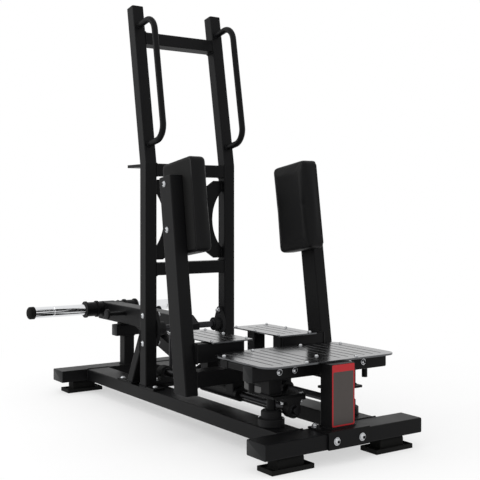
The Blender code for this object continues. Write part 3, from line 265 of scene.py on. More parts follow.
def softened(node, name, finish, slot, radius):
    """A copy of a solid with its triangles merged to flats and its edges rounded."""
    source = frame["nodes"][node]
    bm = bmesh.new()
    bm.from_mesh(source.data)
    bmesh.ops.remove_doubles(bm, verts=bm.verts, dist=MERGE)
    bmesh.ops.dissolve_limit(bm, angle_limit=FLAT, verts=bm.verts, edges=bm.edges,
                             use_dissolve_boundaries=False)
    piece = settle(bm, name, finish, source["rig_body"], slot, node)
    for layer in [layer for layer in piece.data.attributes if layer.name == "custom_normal"]:
        piece.data.attributes.remove(layer)
    rounding = piece.modifiers.new("rounding", "BEVEL")
    rounding.width = radius
    rounding.segments = 2
    rounding.limit_method = "ANGLE"
    rounding.angle_limit = ROUNDED_FROM
    rounding.harden_normals = True
    return piece


FOOT_ROUNDING = 0.0018
for end in ("entry", "weight"):
    for hand in ("left", "right"):
        softened(f"{end}_{hand}_foot", f"{end}_{hand}_rubber_foot", rubber, "black_rubber", FOOT_ROUNDING)


# Tower: two square tubes that lean back above a bend, each with a base plate
# and a brace behind, and three crossbars between them. All is mitred steel
# tube, welded and coated, so each joint has a bead under the paint.
dress(powder_coat, "left_upright", "right_upright", "left_brace", "right_brace", "lower_crossbar",
      "middle_crossbar", "top_crossbar")
TUBE_HALF = 0.025
ACROSS, ALONG, UPWARD = (TUBE_HALF, 0, 0), (0, TUBE_HALF, 0), (0, 0, TUBE_HALF)
UPRIGHT_INNER, UPRIGHT_OUTER = 0.160, 0.210
CROSSBAR_LEVELS = (0.568, 0.961)
TOP_CROSSBAR = 0.516
UPRIGHT_PLATE_TOP, BRACE_PLATE_TOP = 0.1083, 0.1063
BRACE_X, BRACE_HALF = 0.190, 0.020
# A brace's ends are cut at a slant, so they are longer than its tube is wide.
BRACE_HEAD, BRACE_HEAD_HALF = (BRACE_X, 0.14135, 0.283), 0.0423
BRACE_FOOT, BRACE_FOOT_HALF = (BRACE_X, 0.2330, BRACE_PLATE_TOP), 0.0227
beads = bmesh.new()
for side in (-1, 1):
    for level in CROSSBAR_LEVELS:
        bead_box(beads, (side * UPRIGHT_INNER, TOWER_Y, level), ALONG, UPWARD)
    top = bend + lean_up * TOP_CROSSBAR + Vector((side * UPRIGHT_INNER, 0, 0))
    bead_box(beads, top, lean_out * TUBE_HALF, lean_up * TUBE_HALF)
    bead_box(beads, (side * UPRIGHT_X, TOWER_Y, UPRIGHT_PLATE_TOP), ACROSS, ALONG)
    bead_box(beads, mirrored(side, BRACE_HEAD), (BRACE_HALF, 0, 0), (0, 0, BRACE_HEAD_HALF))
    bead_box(beads, mirrored(side, BRACE_FOOT), (BRACE_HALF, 0, 0), (0, BRACE_FOOT_HALF, 0))
settle(beads, "tower_weld_beads", powder_coat, "frame", "frame_black")


# Bolts: zinc plated steel with a low domed head, a hexagon socket and a
# washer. The plating is a bright, slightly cloudy silver.
STEEL_CLOUD = 0.012
SOCKET_STEPS = 24
WASHER_EDGE = 0.0005


def clouded_steel(name, dark, light, smooth, rough):
    """Bare steel under a thin film, which clouds its colour and its gloss together."""
    steel, tree, shader, place = start_finish(name, Metallic=1.0)
    cloud = add(tree, "TexNoise", {"Vector": place, "Scale": 1 / STEEL_CLOUD, "Detail": 5.0}).outputs[0]
    sheen = add(tree, "MapRange", {"Value": cloud, "To Min": smooth, "To Max": rough})
    tone = add(tree, "Mix", {0: cloud, 6: linear(dark), 7: linear(light)}, data_type="RGBA")
    feed(tree, shader, Base_Color=tone.outputs[2], Roughness=sheen.outputs[0])
    return steel


zinc = clouded_steel("zinc_plated_steel", "#a9abae", "#cfd0d2", 0.20, 0.36)
# On shafts and on links the steel is blackened and oiled: darker, with a soft gleam. In the bolts' sockets
# the same dark finish is painted shade.
black_steel_and_socket_shade = clouded_steel("oiled_black_steel_and_socket_shade", "#2b2b2d", "#3b3b3d", 0.30, 0.46)


def arc(centre, radius, start, end, steps):
    """Points of a flat arc from one angle to another."""
    turns = [start + (end - start) * step / steps for step in range(steps + 1)]
    return [(centre[0] + radius * math.cos(turn), centre[1] + radius * math.sin(turn)) for turn in turns]


def turned(bm, profile, steps, place):
    """Turn a profile of (radius, height) points into a closed round solid, and give its vertices."""
    before = set(bm.verts)
    chain = [bm.verts.new((radius, 0, height)) for radius, height in profile]
    edges = [bm.edges.new(pair) for pair in zip(chain, chain[1:])]
    bmesh.ops.spin(bm, geom=chain + edges, cent=(0, 0, 0), axis=(0, 0, 1), angle=math.tau, steps=steps,
                   use_merge=True)
    made = [vert for vert in bm.verts if vert not in before]
    bmesh.ops.remove_doubles(bm, verts=made, dist=MERGE)
    made = [vert for vert in bm.verts if vert not in before]
    bmesh.ops.transform(bm, matrix=place, verts=made)
    return made


def domed_bolt(bm, place, head=0.0088, washer=0.0108):
    """A domed bolt head with its socket on a washer; place has its Z out of the surface."""
    washer_top, crown, socket, depth = 0.0018, head * 0.62, head * 0.42, head * 0.36
    dome = [(head * math.cos(turn), washer_top + crown * math.sin(turn))
            for turn in (0.0, 0.25, 0.5, 0.75, 1.0)]
    profile = [(0, 0), (washer, 0), (washer, washer_top * 0.75), (washer - WASHER_EDGE, washer_top)] + dome
    rim = washer_top + crown * 0.95
    profile += [(socket * 1.12, rim), (socket, rim - 0.0004), (socket, rim - depth), (0, rim - depth)]
    made = turned(bm, profile, SOCKET_STEPS, Matrix.Identity(4))
    for vert in made:
        reach = vert.co.to_2d().length
        if abs(reach - socket) < 0.0001:
            corner = (math.atan2(vert.co.y, vert.co.x) + math.pi / 6) % (math.pi / 3) - math.pi / 6
            flat = math.cos(math.pi / 6) / math.cos(corner)
            vert.co.x *= flat
            vert.co.y *= flat
    # The socket's walls and floor take the second finish, the dark steel, as painted shade in the hollow.
    for face in {face for vert in made for face in vert.link_faces}:
        middle = face.calc_center_median()
        if middle.z > washer_top and middle.to_2d().length < socket * 1.05:
            face.material_index = 1
    bmesh.ops.transform(bm, matrix=place, verts=made)


def settle_bolts(bm, name, body):
    """Settle a group of plated fasteners, with the dark steel in their sockets as painted shade."""
    settle(bm, name, zinc, body, "zinc_steel").data.materials.append(black_steel_and_socket_shade)


def hex_nut(bm, place, across=0.0095, height=0.0075, washer=0.0112):
    """A hexagon nut on a washer with the thread's end in it; place has its Z out of the surface."""
    washer_top, corner, thread, thread_tip = 0.0017, 0.0006, 0.0052, 0.0045
    turned(bm, [(0, 0), (washer, 0), (washer, 0.0012), (washer - WASHER_EDGE, washer_top), (0, washer_top)],
           SOCKET_STEPS, place)
    nut = bmesh.ops.create_cone(bm, cap_ends=True, segments=6, radius1=across, radius2=across, depth=height,
                                matrix=place @ Matrix.Translation((0, 0, washer_top + height / 2)))["verts"]
    edges = list({edge for vert in nut for edge in vert.link_edges})
    bm.normal_update()
    bmesh.ops.bevel(bm, geom=edges, offset=corner, segments=2, profile=0.5, affect="EDGES", material=-1)
    top = height + washer_top
    turned(bm, [(0, top), (thread, top), (thread, top + 0.0022), (thread_tip, top + 0.003), (0, top + 0.003)],
           SOCKET_STEPS, place)


UP, DOWN, TO_USER, TO_WEIGHTS = (0, 0, 1), (0, 0, -1), (0, -1, 0), (0, 1, 0)
UPRIGHT_PLATE_BOLT = (0.184, 0.0640, UPRIGHT_PLATE_TOP)
BRACE_PLATE_BOLT = (BRACE_X, 0.3262, BRACE_PLATE_TOP)
FLANGE_BOLT_LEVELS, FLANGE_NUT_X = (0.275, 0.385), 0.1457
bolts = bmesh.new()
nuts = bmesh.new()
for side in (-1, 1):
    domed_bolt(bolts, facing(mirrored(side, UPRIGHT_PLATE_BOLT), UP))
    domed_bolt(bolts, facing(mirrored(side, BRACE_PLATE_BOLT), UP))
    for level in FLANGE_BOLT_LEVELS:
        domed_bolt(bolts, facing((side * UPRIGHT_OUTER, TOWER_Y, level), (side, 0, 0)))
        hex_nut(nuts, facing((side * FLANGE_NUT_X, TOWER_Y, level), (-side, 0, 0)))
settle_bolts(bolts, "tower_bolts", "frame")
settle(nuts, "tower_nuts", zinc, "frame", "zinc_steel")


# Handles: a 25 mm steel tube bent out from the front of each upright, along
# it and back. Each is welded on before the coat, with a bead round both feet.
HANDLE_RADIUS = 0.0125
HANDLE_FRONT = 0.0253
HANDLE_REACH = 0.1423
HANDLE_BEND = 0.058
HANDLE_LOW, HANDLE_HIGH = 0.076, 0.566
HANDLE_SIDES, HANDLE_STEPS = 32, 16


def bead_ring(bm, place, radius):
    """Lay a weld bead round a bar on a surface; place has its Z along the bar."""
    steps = 2 * round(math.pi * radius / BEAD_STEP)
    before = set(bm.verts)
    stand = Matrix.Translation((radius, 0, 0)) @ Matrix.Rotation(math.pi / 2, 4, "X")
    rim = bmesh.ops.create_circle(bm, segments=BEAD_SIDES, radius=BEAD, matrix=stand)["verts"]
    edges = list({edge for vert in rim for edge in vert.link_edges})
    bmesh.ops.spin(bm, geom=rim + edges, cent=(0, 0, 0), axis=(0, 0, 1), angle=math.tau, steps=steps,
                   use_merge=True)
    made = [vert for vert in bm.verts if vert not in before]
    for vert in made:
        number = round(math.atan2(vert.co.y, vert.co.x) / math.tau * steps)
        turn = number * math.tau / steps
        middle = Vector((radius * math.cos(turn), radius * math.sin(turn), 0))
        vert.co = middle + (vert.co - middle) * (1 + BEAD_SWELL * (-1) ** number)
    bmesh.ops.transform(bm, matrix=place, verts=made)


def run_out(bm, edges, step):
    """Extrude the open end of a tube straight on, and give its new end."""
    made = bmesh.ops.extrude_edge_only(bm, edges=edges)["geom"]
    bmesh.ops.translate(bm, vec=step, verts=[part for part in made if isinstance(part, bmesh.types.BMVert)])
    return [part for part in made if isinstance(part, bmesh.types.BMEdge) and part.is_boundary]


def bend_over(bm, edges, centre):
    """Bend the open end of a tube a quarter turn about X, and give its new end."""
    made = bmesh.ops.spin(bm, geom=edges, cent=centre, axis=(1, 0, 0), angle=-math.pi / 2,
                          steps=HANDLE_STEPS)["geom_last"]
    return [part for part in made if isinstance(part, bmesh.types.BMEdge)]


beads = bmesh.new()
for side, hand in ((-1, "left"), (1, "right")):
    handle = bmesh.new()
    start = Matrix.Translation((0, HANDLE_LOW, HANDLE_FRONT))
    bmesh.ops.create_circle(handle, segments=HANDLE_SIDES, radius=HANDLE_RADIUS, matrix=start)
    straight = HANDLE_REACH - HANDLE_BEND - HANDLE_FRONT
    far = HANDLE_REACH - HANDLE_BEND
    end = run_out(handle, handle.edges[:], (0, 0, straight))
    end = bend_over(handle, end, (0, HANDLE_LOW + HANDLE_BEND, far))
    end = run_out(handle, end, (0, HANDLE_HIGH - HANDLE_LOW - 2 * HANDLE_BEND, 0))
    end = bend_over(handle, end, (0, HANDLE_HIGH - HANDLE_BEND, far))
    run_out(handle, end, (0, 0, -straight))
    bmesh.ops.holes_fill(handle, edges=[edge for edge in handle.edges if edge.is_boundary])
    leaned = Matrix((Vector((-1, 0, 0)), lean_up, lean_out)).transposed().to_4x4()
    stand = Matrix.Translation(bend + Vector((side * UPRIGHT_X, 0, 0))) @ leaned
    bmesh.ops.transform(handle, matrix=stand, verts=handle.verts)
    settle(handle, f"{hand}_bent_handle", powder_coat, "frame", "frame_black", f"{hand}_handle")
    for reach in (HANDLE_LOW, HANDLE_HIGH):
        bead_ring(beads, stand @ Matrix.Translation((0, reach, HANDLE_FRONT)), HANDLE_RADIUS)
settle(beads, "handle_weld_beads", powder_coat, "frame", "frame_black")


# Panel and tray: laser cut and folded steel sheet between the uprights, under
# the same coat. Their cut edges are broken before coating, so they catch light.
SHEET_EDGE = 0.0008
PANEL_Y, PANEL_EARS = 0.1142, ((0.604, 0.638), (0.889, 0.923))
softened("back_panel", "cut_back_panel", powder_coat, "frame_black", SHEET_EDGE)
softened("tray", "folded_tray", powder_coat, "frame_black", SHEET_EDGE)
beads = bmesh.new()
for side in (-1, 1):
    for low, high in PANEL_EARS:
        bead(beads, (side * UPRIGHT_INNER, PANEL_Y, low), (side * UPRIGHT_INNER, PANEL_Y, high))
settle(beads, "panel_weld_beads", powder_coat, "frame", "frame_black")


# Bearings: cast iron housings, four pillow blocks for the lever shafts and
# two flanges for the arm's, sprayed matt black over the grain of the sand.
# A ground steel ring with a grub screw shows in the middle of each.
SAND_GRAIN = 0.0030
cast_iron, tree, shader, place = start_finish(
    "painted_cast_iron", IOR=1.5, Roughness=0.58, Specular_IOR_Level=0.14)
grain = add(tree, "TexNoise", {"Vector": place, "Scale": 1 / SAND_GRAIN, "Detail": 5.0}).outputs[0]
bump = add(tree, "Bump", {"Height": grain, "Strength": 0.6, "Distance": 0.0005})
tone = add(tree, "Mix", {0: grain, 6: linear("#0d0d0e"), 7: linear("#171718")}, data_type="RGBA")
feed(tree, shader, Base_Color=tone.outputs[2], Normal=bump.outputs[0])
CAST_ROUNDING = 0.0022
LEVER_X, SHAFT_Z = 0.105, 0.152
ARM_Z = 0.330
RING_STEPS, SCREW_STEPS = 40, 12
# Both are (radius, height) points. The screw sits on the ring's side.
RING_PROFILE = [(0.0127, -0.002), (0.0185, -0.002), (0.0185, 0.0005), (0.0172, 0.0008), (0.0168, 0.0035),
                (0.0162, 0.0040), (0.0132, 0.0040), (0.0127, 0.0036), (0.0127, -0.002)]
SCREW_PROFILE = [(0, 0), (0.0019, 0), (0.0019, 0.0009), (0.0012, 0.0009), (0.0012, 0.0004), (0, 0.0004)]
SCREW_SEAT = (0.0166, 0, 0.002)


def bearing_ring(bm, place):
    """The ground steel ring that stands out of a housing round its shaft, with a grub screw."""
    turned(bm, RING_PROFILE, RING_STEPS, place)
    turned(bm, SCREW_PROFILE, SCREW_STEPS, place @ facing(SCREW_SEAT, (1, 0, 0)))


RING_FACES = ((-0.7218, TO_USER), (-0.6919, TO_WEIGHTS), (0.1081, TO_USER), (0.1382, TO_WEIGHTS))
ARM_RING_X = 0.1187
PILLOW_BOLT_X = 0.0385
FRONT_BEARING_Y, REAR_BEARING_Y = -0.70685, 0.12315
FRONT_NUT_Z, FRONT_BOLT_Z, REAR_NUT_Z = 0.182, 0.2023, 0.122
PILLOW_NUT, PILLOW_BOLT = (0.0062, 0.0050, 0.0080), (0.0068, 0.0085)
inserts = bmesh.new()
bolts = bmesh.new()
nuts = bmesh.new()
for side, hand in ((-1, "left"), (1, "right")):
    for end in ("front", "rear", "arm"):
        softened(f"{hand}_{end}_bearing", f"{hand}_{end}_bearing_housing", cast_iron, "cast_black",
                 CAST_ROUNDING)
    for y, way in RING_FACES:
        bearing_ring(inserts, facing((side * LEVER_X, y, SHAFT_Z), way))
    bearing_ring(inserts, facing((side * ARM_RING_X, TOWER_Y, ARM_Z), (-side, 0, 0)))
    for x in (LEVER_X - PILLOW_BOLT_X, LEVER_X + PILLOW_BOLT_X):
        hex_nut(nuts, facing((side * x, FRONT_BEARING_Y, FRONT_NUT_Z), DOWN), *PILLOW_NUT)
        hex_nut(nuts, facing((side * x, REAR_BEARING_Y, REAR_NUT_Z), UP), *PILLOW_NUT)
    inner = side * (LEVER_X - PILLOW_BOLT_X)
    domed_bolt(bolts, facing((inner, FRONT_BEARING_Y, FRONT_BOLT_Z), UP), *PILLOW_BOLT)
settle(inserts, "bearing_rings", black_steel_and_socket_shade, "frame", "zinc_steel")
settle_bolts(bolts, "bearing_bolts", "frame")
settle(nuts, "bearing_nuts", zinc, "frame", "zinc_steel")


# Weight arm: a heavy square tube with a strut and a round hub, welded up and
# coated, on an oiled steel shaft in its two flange bearings.
dress(powder_coat, "weight_arm")
dress(black_steel_and_socket_shade, "arm_shaft", "link_pin")
SLEEVE_Y, SLEEVE_Z = 0.82815, 0.340
SLEEVE_BOSS = 0.032
ARM_HALF, ARM_END, ARM_CAP = 0.040, 0.8731, (0.079, 0.079)
LINK_PIN_END, LINK_PIN_BOLT = (0.0655, 0.16765, 0.31376), (0.0075, 0.0100)
beads = bmesh.new()
for side in (-1, 1):
    bead_ring(beads, facing((side * ARM_HALF, SLEEVE_Y, SLEEVE_Z), (side, 0, 0)), SLEEVE_BOSS)
settle(beads, "arm_weld_beads", powder_coat, "weight_arm", "frame_black")
caps = bmesh.new()
end_cap(caps, facing((0, ARM_END, ARM_Z), TO_WEIGHTS), *ARM_CAP)
settle(caps, "arm_end_cap", cap_plastic, "weight_arm", "black_rubber")
bolts = bmesh.new()
for side in (-1, 1):
    domed_bolt(bolts, facing(mirrored(side, LINK_PIN_END), (side, 0, 0)), *LINK_PIN_BOLT)
settle_bolts(bolts, "link_pin_bolts", "weight_arm")


# Weight sleeves: 50 mm steel tube in bright chrome, ground round before it is
# plated, with a groove for a clip. It mirrors what stands round it. A coated
# collar stops the plates, and a moulded cap closes the end.
CHROME_GRIND = 0.0012
CHROME_SMEAR = 0.060
chrome, tree, shader, place = start_finish("bright_chrome", Metallic=1.0)
grind = add(tree, "Mapping", {"Vector": place, "Scale": (1 / CHROME_GRIND, 6.0, 6.0)}).outputs[0]
# The grinding lines round the tube are 0.2 mm apart; they are drawn at 1.2 mm to show.
rings = add(tree, "TexNoise", {"Vector": grind, "Scale": 1.0, "Detail": 2.0}).outputs[0]
smear = add(tree, "TexNoise", {"Vector": place, "Scale": 1 / CHROME_SMEAR, "Detail": 3.0}).outputs[0]
sheen = add(tree, "MapRange", {"Value": rings, "To Min": 0.05, "To Max": 0.08})
tone = add(tree, "Mix", {0: smear, 6: linear("#dcdddf"), 7: linear("#e9eaec")}, data_type="RGBA")
feed(tree, shader, Base_Color=tone.outputs[2], Roughness=sheen.outputs[0])
SLEEVE_STEPS = 64
SLEEVE_START, SLEEVE_LENGTH = 0.0673, 0.311
SLEEVE, SLEEVE_CHAMFER = 0.025, 0.0012
CLIP_START, CLIP_LOW, CLIP_HIGH, CLIP_END = 0.2196, 0.2208, 0.2272, 0.2284
CLIP_SHOULDER, CLIP_FLOOR = 0.0238, 0.0232
COLLAR_LENGTH, COLLAR_BORE, COLLAR_EDGE = 0.066, SLEEVE + 0.0004, 0.0012
COLLAR_LIP, COLLAR_BODY = 0.038, 0.033
COLLAR_PARTS = ((0, 0.010, COLLAR_LIP), (0.010, 0.056, COLLAR_BODY), (0.056, COLLAR_LENGTH, COLLAR_LIP))
CAP_START = 0.3786
CAP_RADIUS, CAP_LENGTH, CAP_SKIRT, CAP_DOME = 0.028, 0.032, 0.019, 0.013
CAP_GROOVES, CAP_GROOVE_DEPTH, CAP_GROOVE_HALF = (0.007, 0.012, 0.017), 0.0009, 0.0012
CAP_CHAMFER = 0.001
CAP_TURNS = [0.0, 0.3, 0.6, 0.85, 1.05, 1.25, 1.4, 1.5]
for side, hand in ((-1, "left"), (1, "right")):
    start = facing((side * SLEEVE_START, SLEEVE_Y, SLEEVE_Z), (side, 0, 0))
    sleeve = bmesh.new()
    profile = [(0, 0), (SLEEVE, 0), (SLEEVE, CLIP_START), (CLIP_SHOULDER, CLIP_LOW), (CLIP_FLOOR, CLIP_LOW),
               (CLIP_FLOOR, CLIP_HIGH), (CLIP_SHOULDER, CLIP_HIGH), (SLEEVE, CLIP_END),
               (SLEEVE, SLEEVE_LENGTH - SLEEVE_CHAMFER), (SLEEVE - SLEEVE_CHAMFER, SLEEVE_LENGTH),
               (0, SLEEVE_LENGTH)]
    turned(sleeve, profile, SLEEVE_STEPS, start)
    settle(sleeve, f"{hand}_chrome_sleeve", chrome, "weight_arm", "sleeve_chrome", f"{hand}_weight_sleeve")
    collar = bmesh.new()
    profile = [(COLLAR_BORE, 0)]
    for low, high, radius in COLLAR_PARTS:
        inset = COLLAR_EDGE if radius == COLLAR_LIP else 0
        profile += [(radius - inset, low), (radius, low + inset), (radius, high - inset),
                    (radius - inset, high)]
    profile += [(COLLAR_BORE, COLLAR_LENGTH), (COLLAR_BORE, 0)]
    turned(collar, profile, SLEEVE_STEPS, start)
    settle(collar, f"{hand}_turned_collar", powder_coat, "weight_arm", "frame_black",
           f"{hand}_sleeve_collar")
    cap = bmesh.new()
    profile = [(0, 0), (CAP_RADIUS - CAP_CHAMFER, 0), (CAP_RADIUS, CAP_CHAMFER)]
    for groove in CAP_GROOVES:
        bottom = CAP_RADIUS - CAP_GROOVE_DEPTH
        profile += [(CAP_RADIUS, groove - CAP_GROOVE_HALF), (bottom, groove - 0.0005),
                    (bottom, groove + 0.0005), (CAP_RADIUS, groove + CAP_GROOVE_HALF)]
    profile += [(CAP_RADIUS * math.cos(turn), CAP_SKIRT + CAP_DOME * math.sin(turn)) for turn in CAP_TURNS]
    profile += [(0, CAP_LENGTH)]
    turned(cap, profile, SLEEVE_STEPS, facing((side * CAP_START, SLEEVE_Y, SLEEVE_Z), (side, 0, 0)))
    settle(cap, f"{hand}_moulded_sleeve_cap", rubber, "weight_arm", "black_rubber", f"{hand}_sleeve_cap")


# Band pegs: a turned steel peg with a disc on its end on each side of the
# arm, to hook an elastic band on. They are welded on and coated.
PEG_START = (0.0403, 0.59515, SLEEVE_Z)
PEG_RADIUS, PEG_NECK, PEG_LENGTH = 0.009, 0.082, 0.095
PEG_FLARE = (PEG_RADIUS + 0.0015, PEG_NECK + 0.003)
DISC_RIM, DISC_LOW, DISC_HIGH, DISC_CORNER = 0.0205, 0.087, 0.093, 0.002
PEG_STEPS, CORNER_STEPS = 40, 4
beads = bmesh.new()
for side, hand in ((-1, "left"), (1, "right")):
    peg = bmesh.new()
    start = facing(mirrored(side, PEG_START), (side, 0, 0))
    profile = [(0, 0), (PEG_RADIUS, 0), (PEG_RADIUS, PEG_NECK), PEG_FLARE]
    profile += arc((DISC_RIM, DISC_LOW), DISC_CORNER, -math.pi / 2, 0, CORNER_STEPS)
    profile += arc((DISC_RIM, DISC_HIGH), DISC_CORNER, 0, math.pi / 2, CORNER_STEPS)
    profile += [(0, PEG_LENGTH)]
    turned(peg, profile, PEG_STEPS, start)
    settle(peg, f"{hand}_turned_peg", powder_coat, "weight_arm", "frame_black", f"{hand}_band_peg")
    bead_ring(beads, start, PEG_RADIUS)
settle(beads, "peg_weld_beads", powder_coat, "weight_arm", "frame_black")


# Rest: a post on the weight crossmember with a T head and a rubber strip, on
# which the arm lies when nobody stands on the machine.
dress(powder_coat, "rest_post")
REST_FOOT, REST_HEAD = 0.1003, 0.2334
REST_EDGE = 0.0015
softened("rest_pad", "rest_rubber", rubber, "black_rubber", REST_EDGE)
beads = bmesh.new()
for level in (REST_FOOT, REST_HEAD):
    bead_box(beads, (0, REST_Y, level), ACROSS, ALONG)
settle(beads, "rest_weld_beads", powder_coat, "frame", "frame_black")


# Levers: one weldment a side, of the leaned tube, the beams under the foot
# plate and the tube round its shaft. The shaft is oiled bar, and a flame cut
# crank on its rear end lifts the arm through a short forged link.
LEVER_LEAN = math.radians(8.2)
lever_up = Vector((0, math.sin(LEVER_LEAN), math.cos(LEVER_LEAN)))
lever_foot = Vector((0, -0.37485, 0.168))
LEVER_OUT, LEVER_LENGTH, LEVER_CAP = 0.305, 0.758, (0.049, 0.079)
LEVER_INNER = 0.280
FOOT_BEAM_END, FOOT_BEAM_CAP = (0.087, -0.38185, 0.3077), (0.049, 0.065)
FOOT_BEAM_WELD, FOOT_BEAM_HALF = (LEVER_INNER, -0.38185, 0.3077), (0, 0, 0.033)
CROSS_TUBE_WELD, CROSS_TUBE_HALVES = (LEVER_INNER, -0.3698, 0.217), ((0, 0.036, 0), (0, 0, 0.027))
PIVOT_TUBE_END, PIVOT_BEAD = (LEVER_X, -0.1725, SHAFT_Z), 0.0165
PAD_BOLTS = ((0.330, -0.26485, 0.893), (0.330, -0.28585, 0.732))
CRANK_PIN_END, CRANK_PIN_BOLT = (0.0535, 0.1773, 0.1358), (0.0052, 0.0085)
CRANK_EDGE, LINK_EDGE = 0.0010, 0.0008
for side, hand in ((-1, "left"), (1, "right")):
    body = f"{hand}_lever"
    dress(powder_coat, f"{hand}_lever")
    dress(black_steel_and_socket_shade, f"{hand}_lever_shaft")
    softened(f"{hand}_crank", f"{hand}_cut_crank", cast_iron, "cast_black", CRANK_EDGE)
    softened(f"{hand}_link", f"{hand}_forged_link", black_steel_and_socket_shade, "zinc_steel", LINK_EDGE)
    caps = bmesh.new()
    head = lever_foot + lever_up * LEVER_LENGTH + Vector((side * LEVER_OUT, 0, 0))
    end_cap(caps, facing(head, lever_up), *LEVER_CAP)
    end_cap(caps, facing(mirrored(side, FOOT_BEAM_END), (-side, 0, 0)), *FOOT_BEAM_CAP)
    settle(caps, f"{hand}_lever_caps", cap_plastic, body, "black_rubber")
    beads = bmesh.new()
    bead_box(beads, mirrored(side, FOOT_BEAM_WELD), ALONG, FOOT_BEAM_HALF)
    bead_box(beads, mirrored(side, CROSS_TUBE_WELD), *CROSS_TUBE_HALVES)
    bead_ring(beads, facing(mirrored(side, PIVOT_TUBE_END), TO_WEIGHTS), PIVOT_BEAD)
    settle(beads, f"{hand}_lever_weld_beads", powder_coat, body, "frame_black")
    bolts = bmesh.new()
    for spot in PAD_BOLTS:
        domed_bolt(bolts, facing(mirrored(side, spot), (side, 0, 0)))
    domed_bolt(bolts, facing(mirrored(side, CRANK_PIN_END), TO_WEIGHTS), *CRANK_PIN_BOLT)
    settle_bolts(bolts, f"{hand}_lever_bolts", body)


# Foot plates: aluminium treads, brushed along their length, with grooves milled
# in them. The grooves' floors and walls are coloured dark as painted shade. Their
# edges are chamfered and shine. The platform's big tread is made the same way.
BRUSH_PITCH = 0.0016
TREAD_CLOUD = 0.090
tread, tree, shader, place = start_finish("brushed_aluminium_tread", Metallic=1.0)
# The brush lines are 0.1 mm apart; they are drawn at 1.6 mm to show.
brush = add(tree, "Mapping", {"Vector": place, "Scale": (1 / BRUSH_PITCH, 8.0, 8.0)}).outputs[0]
lines = add(tree, "TexNoise", {"Vector": brush, "Scale": 1.0, "Detail": 3.0}).outputs[0]
cloud = add(tree, "TexNoise", {"Vector": place, "Scale": 1 / TREAD_CLOUD, "Detail": 3.0}).outputs[0]
sheen = add(tree, "MapRange", {"Value": cloud, "To Min": 0.14, "To Max": 0.22})
bump = add(tree, "Bump", {"Height": lines, "Strength": 0.10, "Distance": 0.00005})
tone = add(tree, "Mix", {0: lines, 6: linear("#4c4d4f"), 7: linear("#626365")}, data_type="RGBA")
feed(tree, shader, Base_Color=tone.outputs[2], Roughness=sheen.outputs[0], Normal=bump.outputs[0])
# The dark colour in the grooves is painted shade; it is dull, and lighter in random patches.
GROOVE_SHADE_MOTTLE = 0.008
painted_groove_shade, tree, shader, place = start_finish("dark_painted_groove_shade", IOR=1.5)
shade_mottle = add(tree, "TexNoise", {"Vector": place, "Scale": 1 / GROOVE_SHADE_MOTTLE, "Detail": 4.0}).outputs[0]
sheen = add(tree, "MapRange", {"Value": shade_mottle, "To Min": 0.45, "To Max": 0.65})
tone = add(tree, "Mix", {0: shade_mottle, 6: linear("#161617"), 7: linear("#29292a")}, data_type="RGBA")
feed(tree, shader, Base_Color=tone.outputs[2], Roughness=sheen.outputs[0])
TREAD_EDGE = 0.0006
GROOVE_DEPTH = 0.0012
FOOT_PLATE_TOP, PLATFORM_TOP = 0.346, 0.316


def tread_plate(node, name, top):
    """A tread with its edges broken, and painted shade in the grooves below its top."""
    plate = softened(node, name, tread, "tread_aluminium", TREAD_EDGE)
    plate.data.materials.append(painted_groove_shade)
    # A groove's floor lies one depth below the top, and the middles of its walls half of one.
    for face in plate.data.polygons:
        if top - GROOVE_DEPTH * 1.1 < face.center.z < top - GROOVE_DEPTH * 0.4:
            # The grooves' faces take the second finish, the dark painted shade.
            face.material_index = 1
    return plate


FOOT_BOLT_X, FOOT_BOLT_Y, FOOT_BOLT = (0.0720, 0.2180), (-0.4000, -0.2520, -0.1260), (0.0052, 0.0058)
for side, hand in ((-1, "left"), (1, "right")):
    tread_plate(f"{hand}_foot_plate", f"{hand}_foot_tread", FOOT_PLATE_TOP)
    bolts = bmesh.new()
    for x in FOOT_BOLT_X:
        for y in FOOT_BOLT_Y:
            domed_bolt(bolts, facing((side * x, y, FOOT_PLATE_TOP), UP), *FOOT_BOLT)
    settle_bolts(bolts, f"{hand}_foot_plate_bolts", f"{hand}_lever")


# Platform: a frame of square tube under the big tread, bolted to a post in
# front and to a leg over each rail. The post's saddle is bolted over the entry
# crossmember, and each leg stands in a cast mount.
MIDDLE_BOLT, TREAD_BOLTS = (0, -0.7059), ((0.105, -0.4869), (0.254, -0.5329), (0.105, -0.7859))
TREAD_BOLT = (0.0058, 0.0064)
BEAM_BOLTS = ((0.116, -0.7388, 0.285), (0.178, -0.7388, 0.285))
SADDLE_TOP = 0.1063
SADDLE_NUT = (0.0730, -0.7869, SADDLE_TOP)
SADDLE_FRONT_BOLT, BIG_BOLT = (0.053, -0.8731, BASE_Z), (0.0105, 0.0130)
MOUNT_SHOULDER, MOUNT_BOLTS = 0.1243, ((0.1349, -0.6997), (0.1851, -0.6400))
MOUNT_BOLT = (0.0042, 0.0048)
tread_plate("platform_plate", "platform_tread", PLATFORM_TOP)
dress(powder_coat, "platform_frame", "platform_post", "left_platform_leg", "right_platform_leg")
bolts = bmesh.new()
nuts = bmesh.new()
tread_bolts = [MIDDLE_BOLT]
for side in (-1, 1):
    tread_bolts += [(side * x, y) for x, y in TREAD_BOLTS]
    for spot in BEAM_BOLTS:
        domed_bolt(bolts, facing(mirrored(side, spot), TO_USER))
    domed_bolt(bolts, facing(mirrored(side, SADDLE_FRONT_BOLT), TO_USER), *BIG_BOLT)
    hex_nut(nuts, facing(mirrored(side, SADDLE_NUT), UP))
    for x, y in MOUNT_BOLTS:
        domed_bolt(bolts, facing((side * x, y, MOUNT_SHOULDER), UP), *MOUNT_BOLT)
for x, y in tread_bolts:
    domed_bolt(bolts, facing((x, y, PLATFORM_TOP), UP), *TREAD_BOLT)
settle_bolts(bolts, "platform_bolts", "frame")
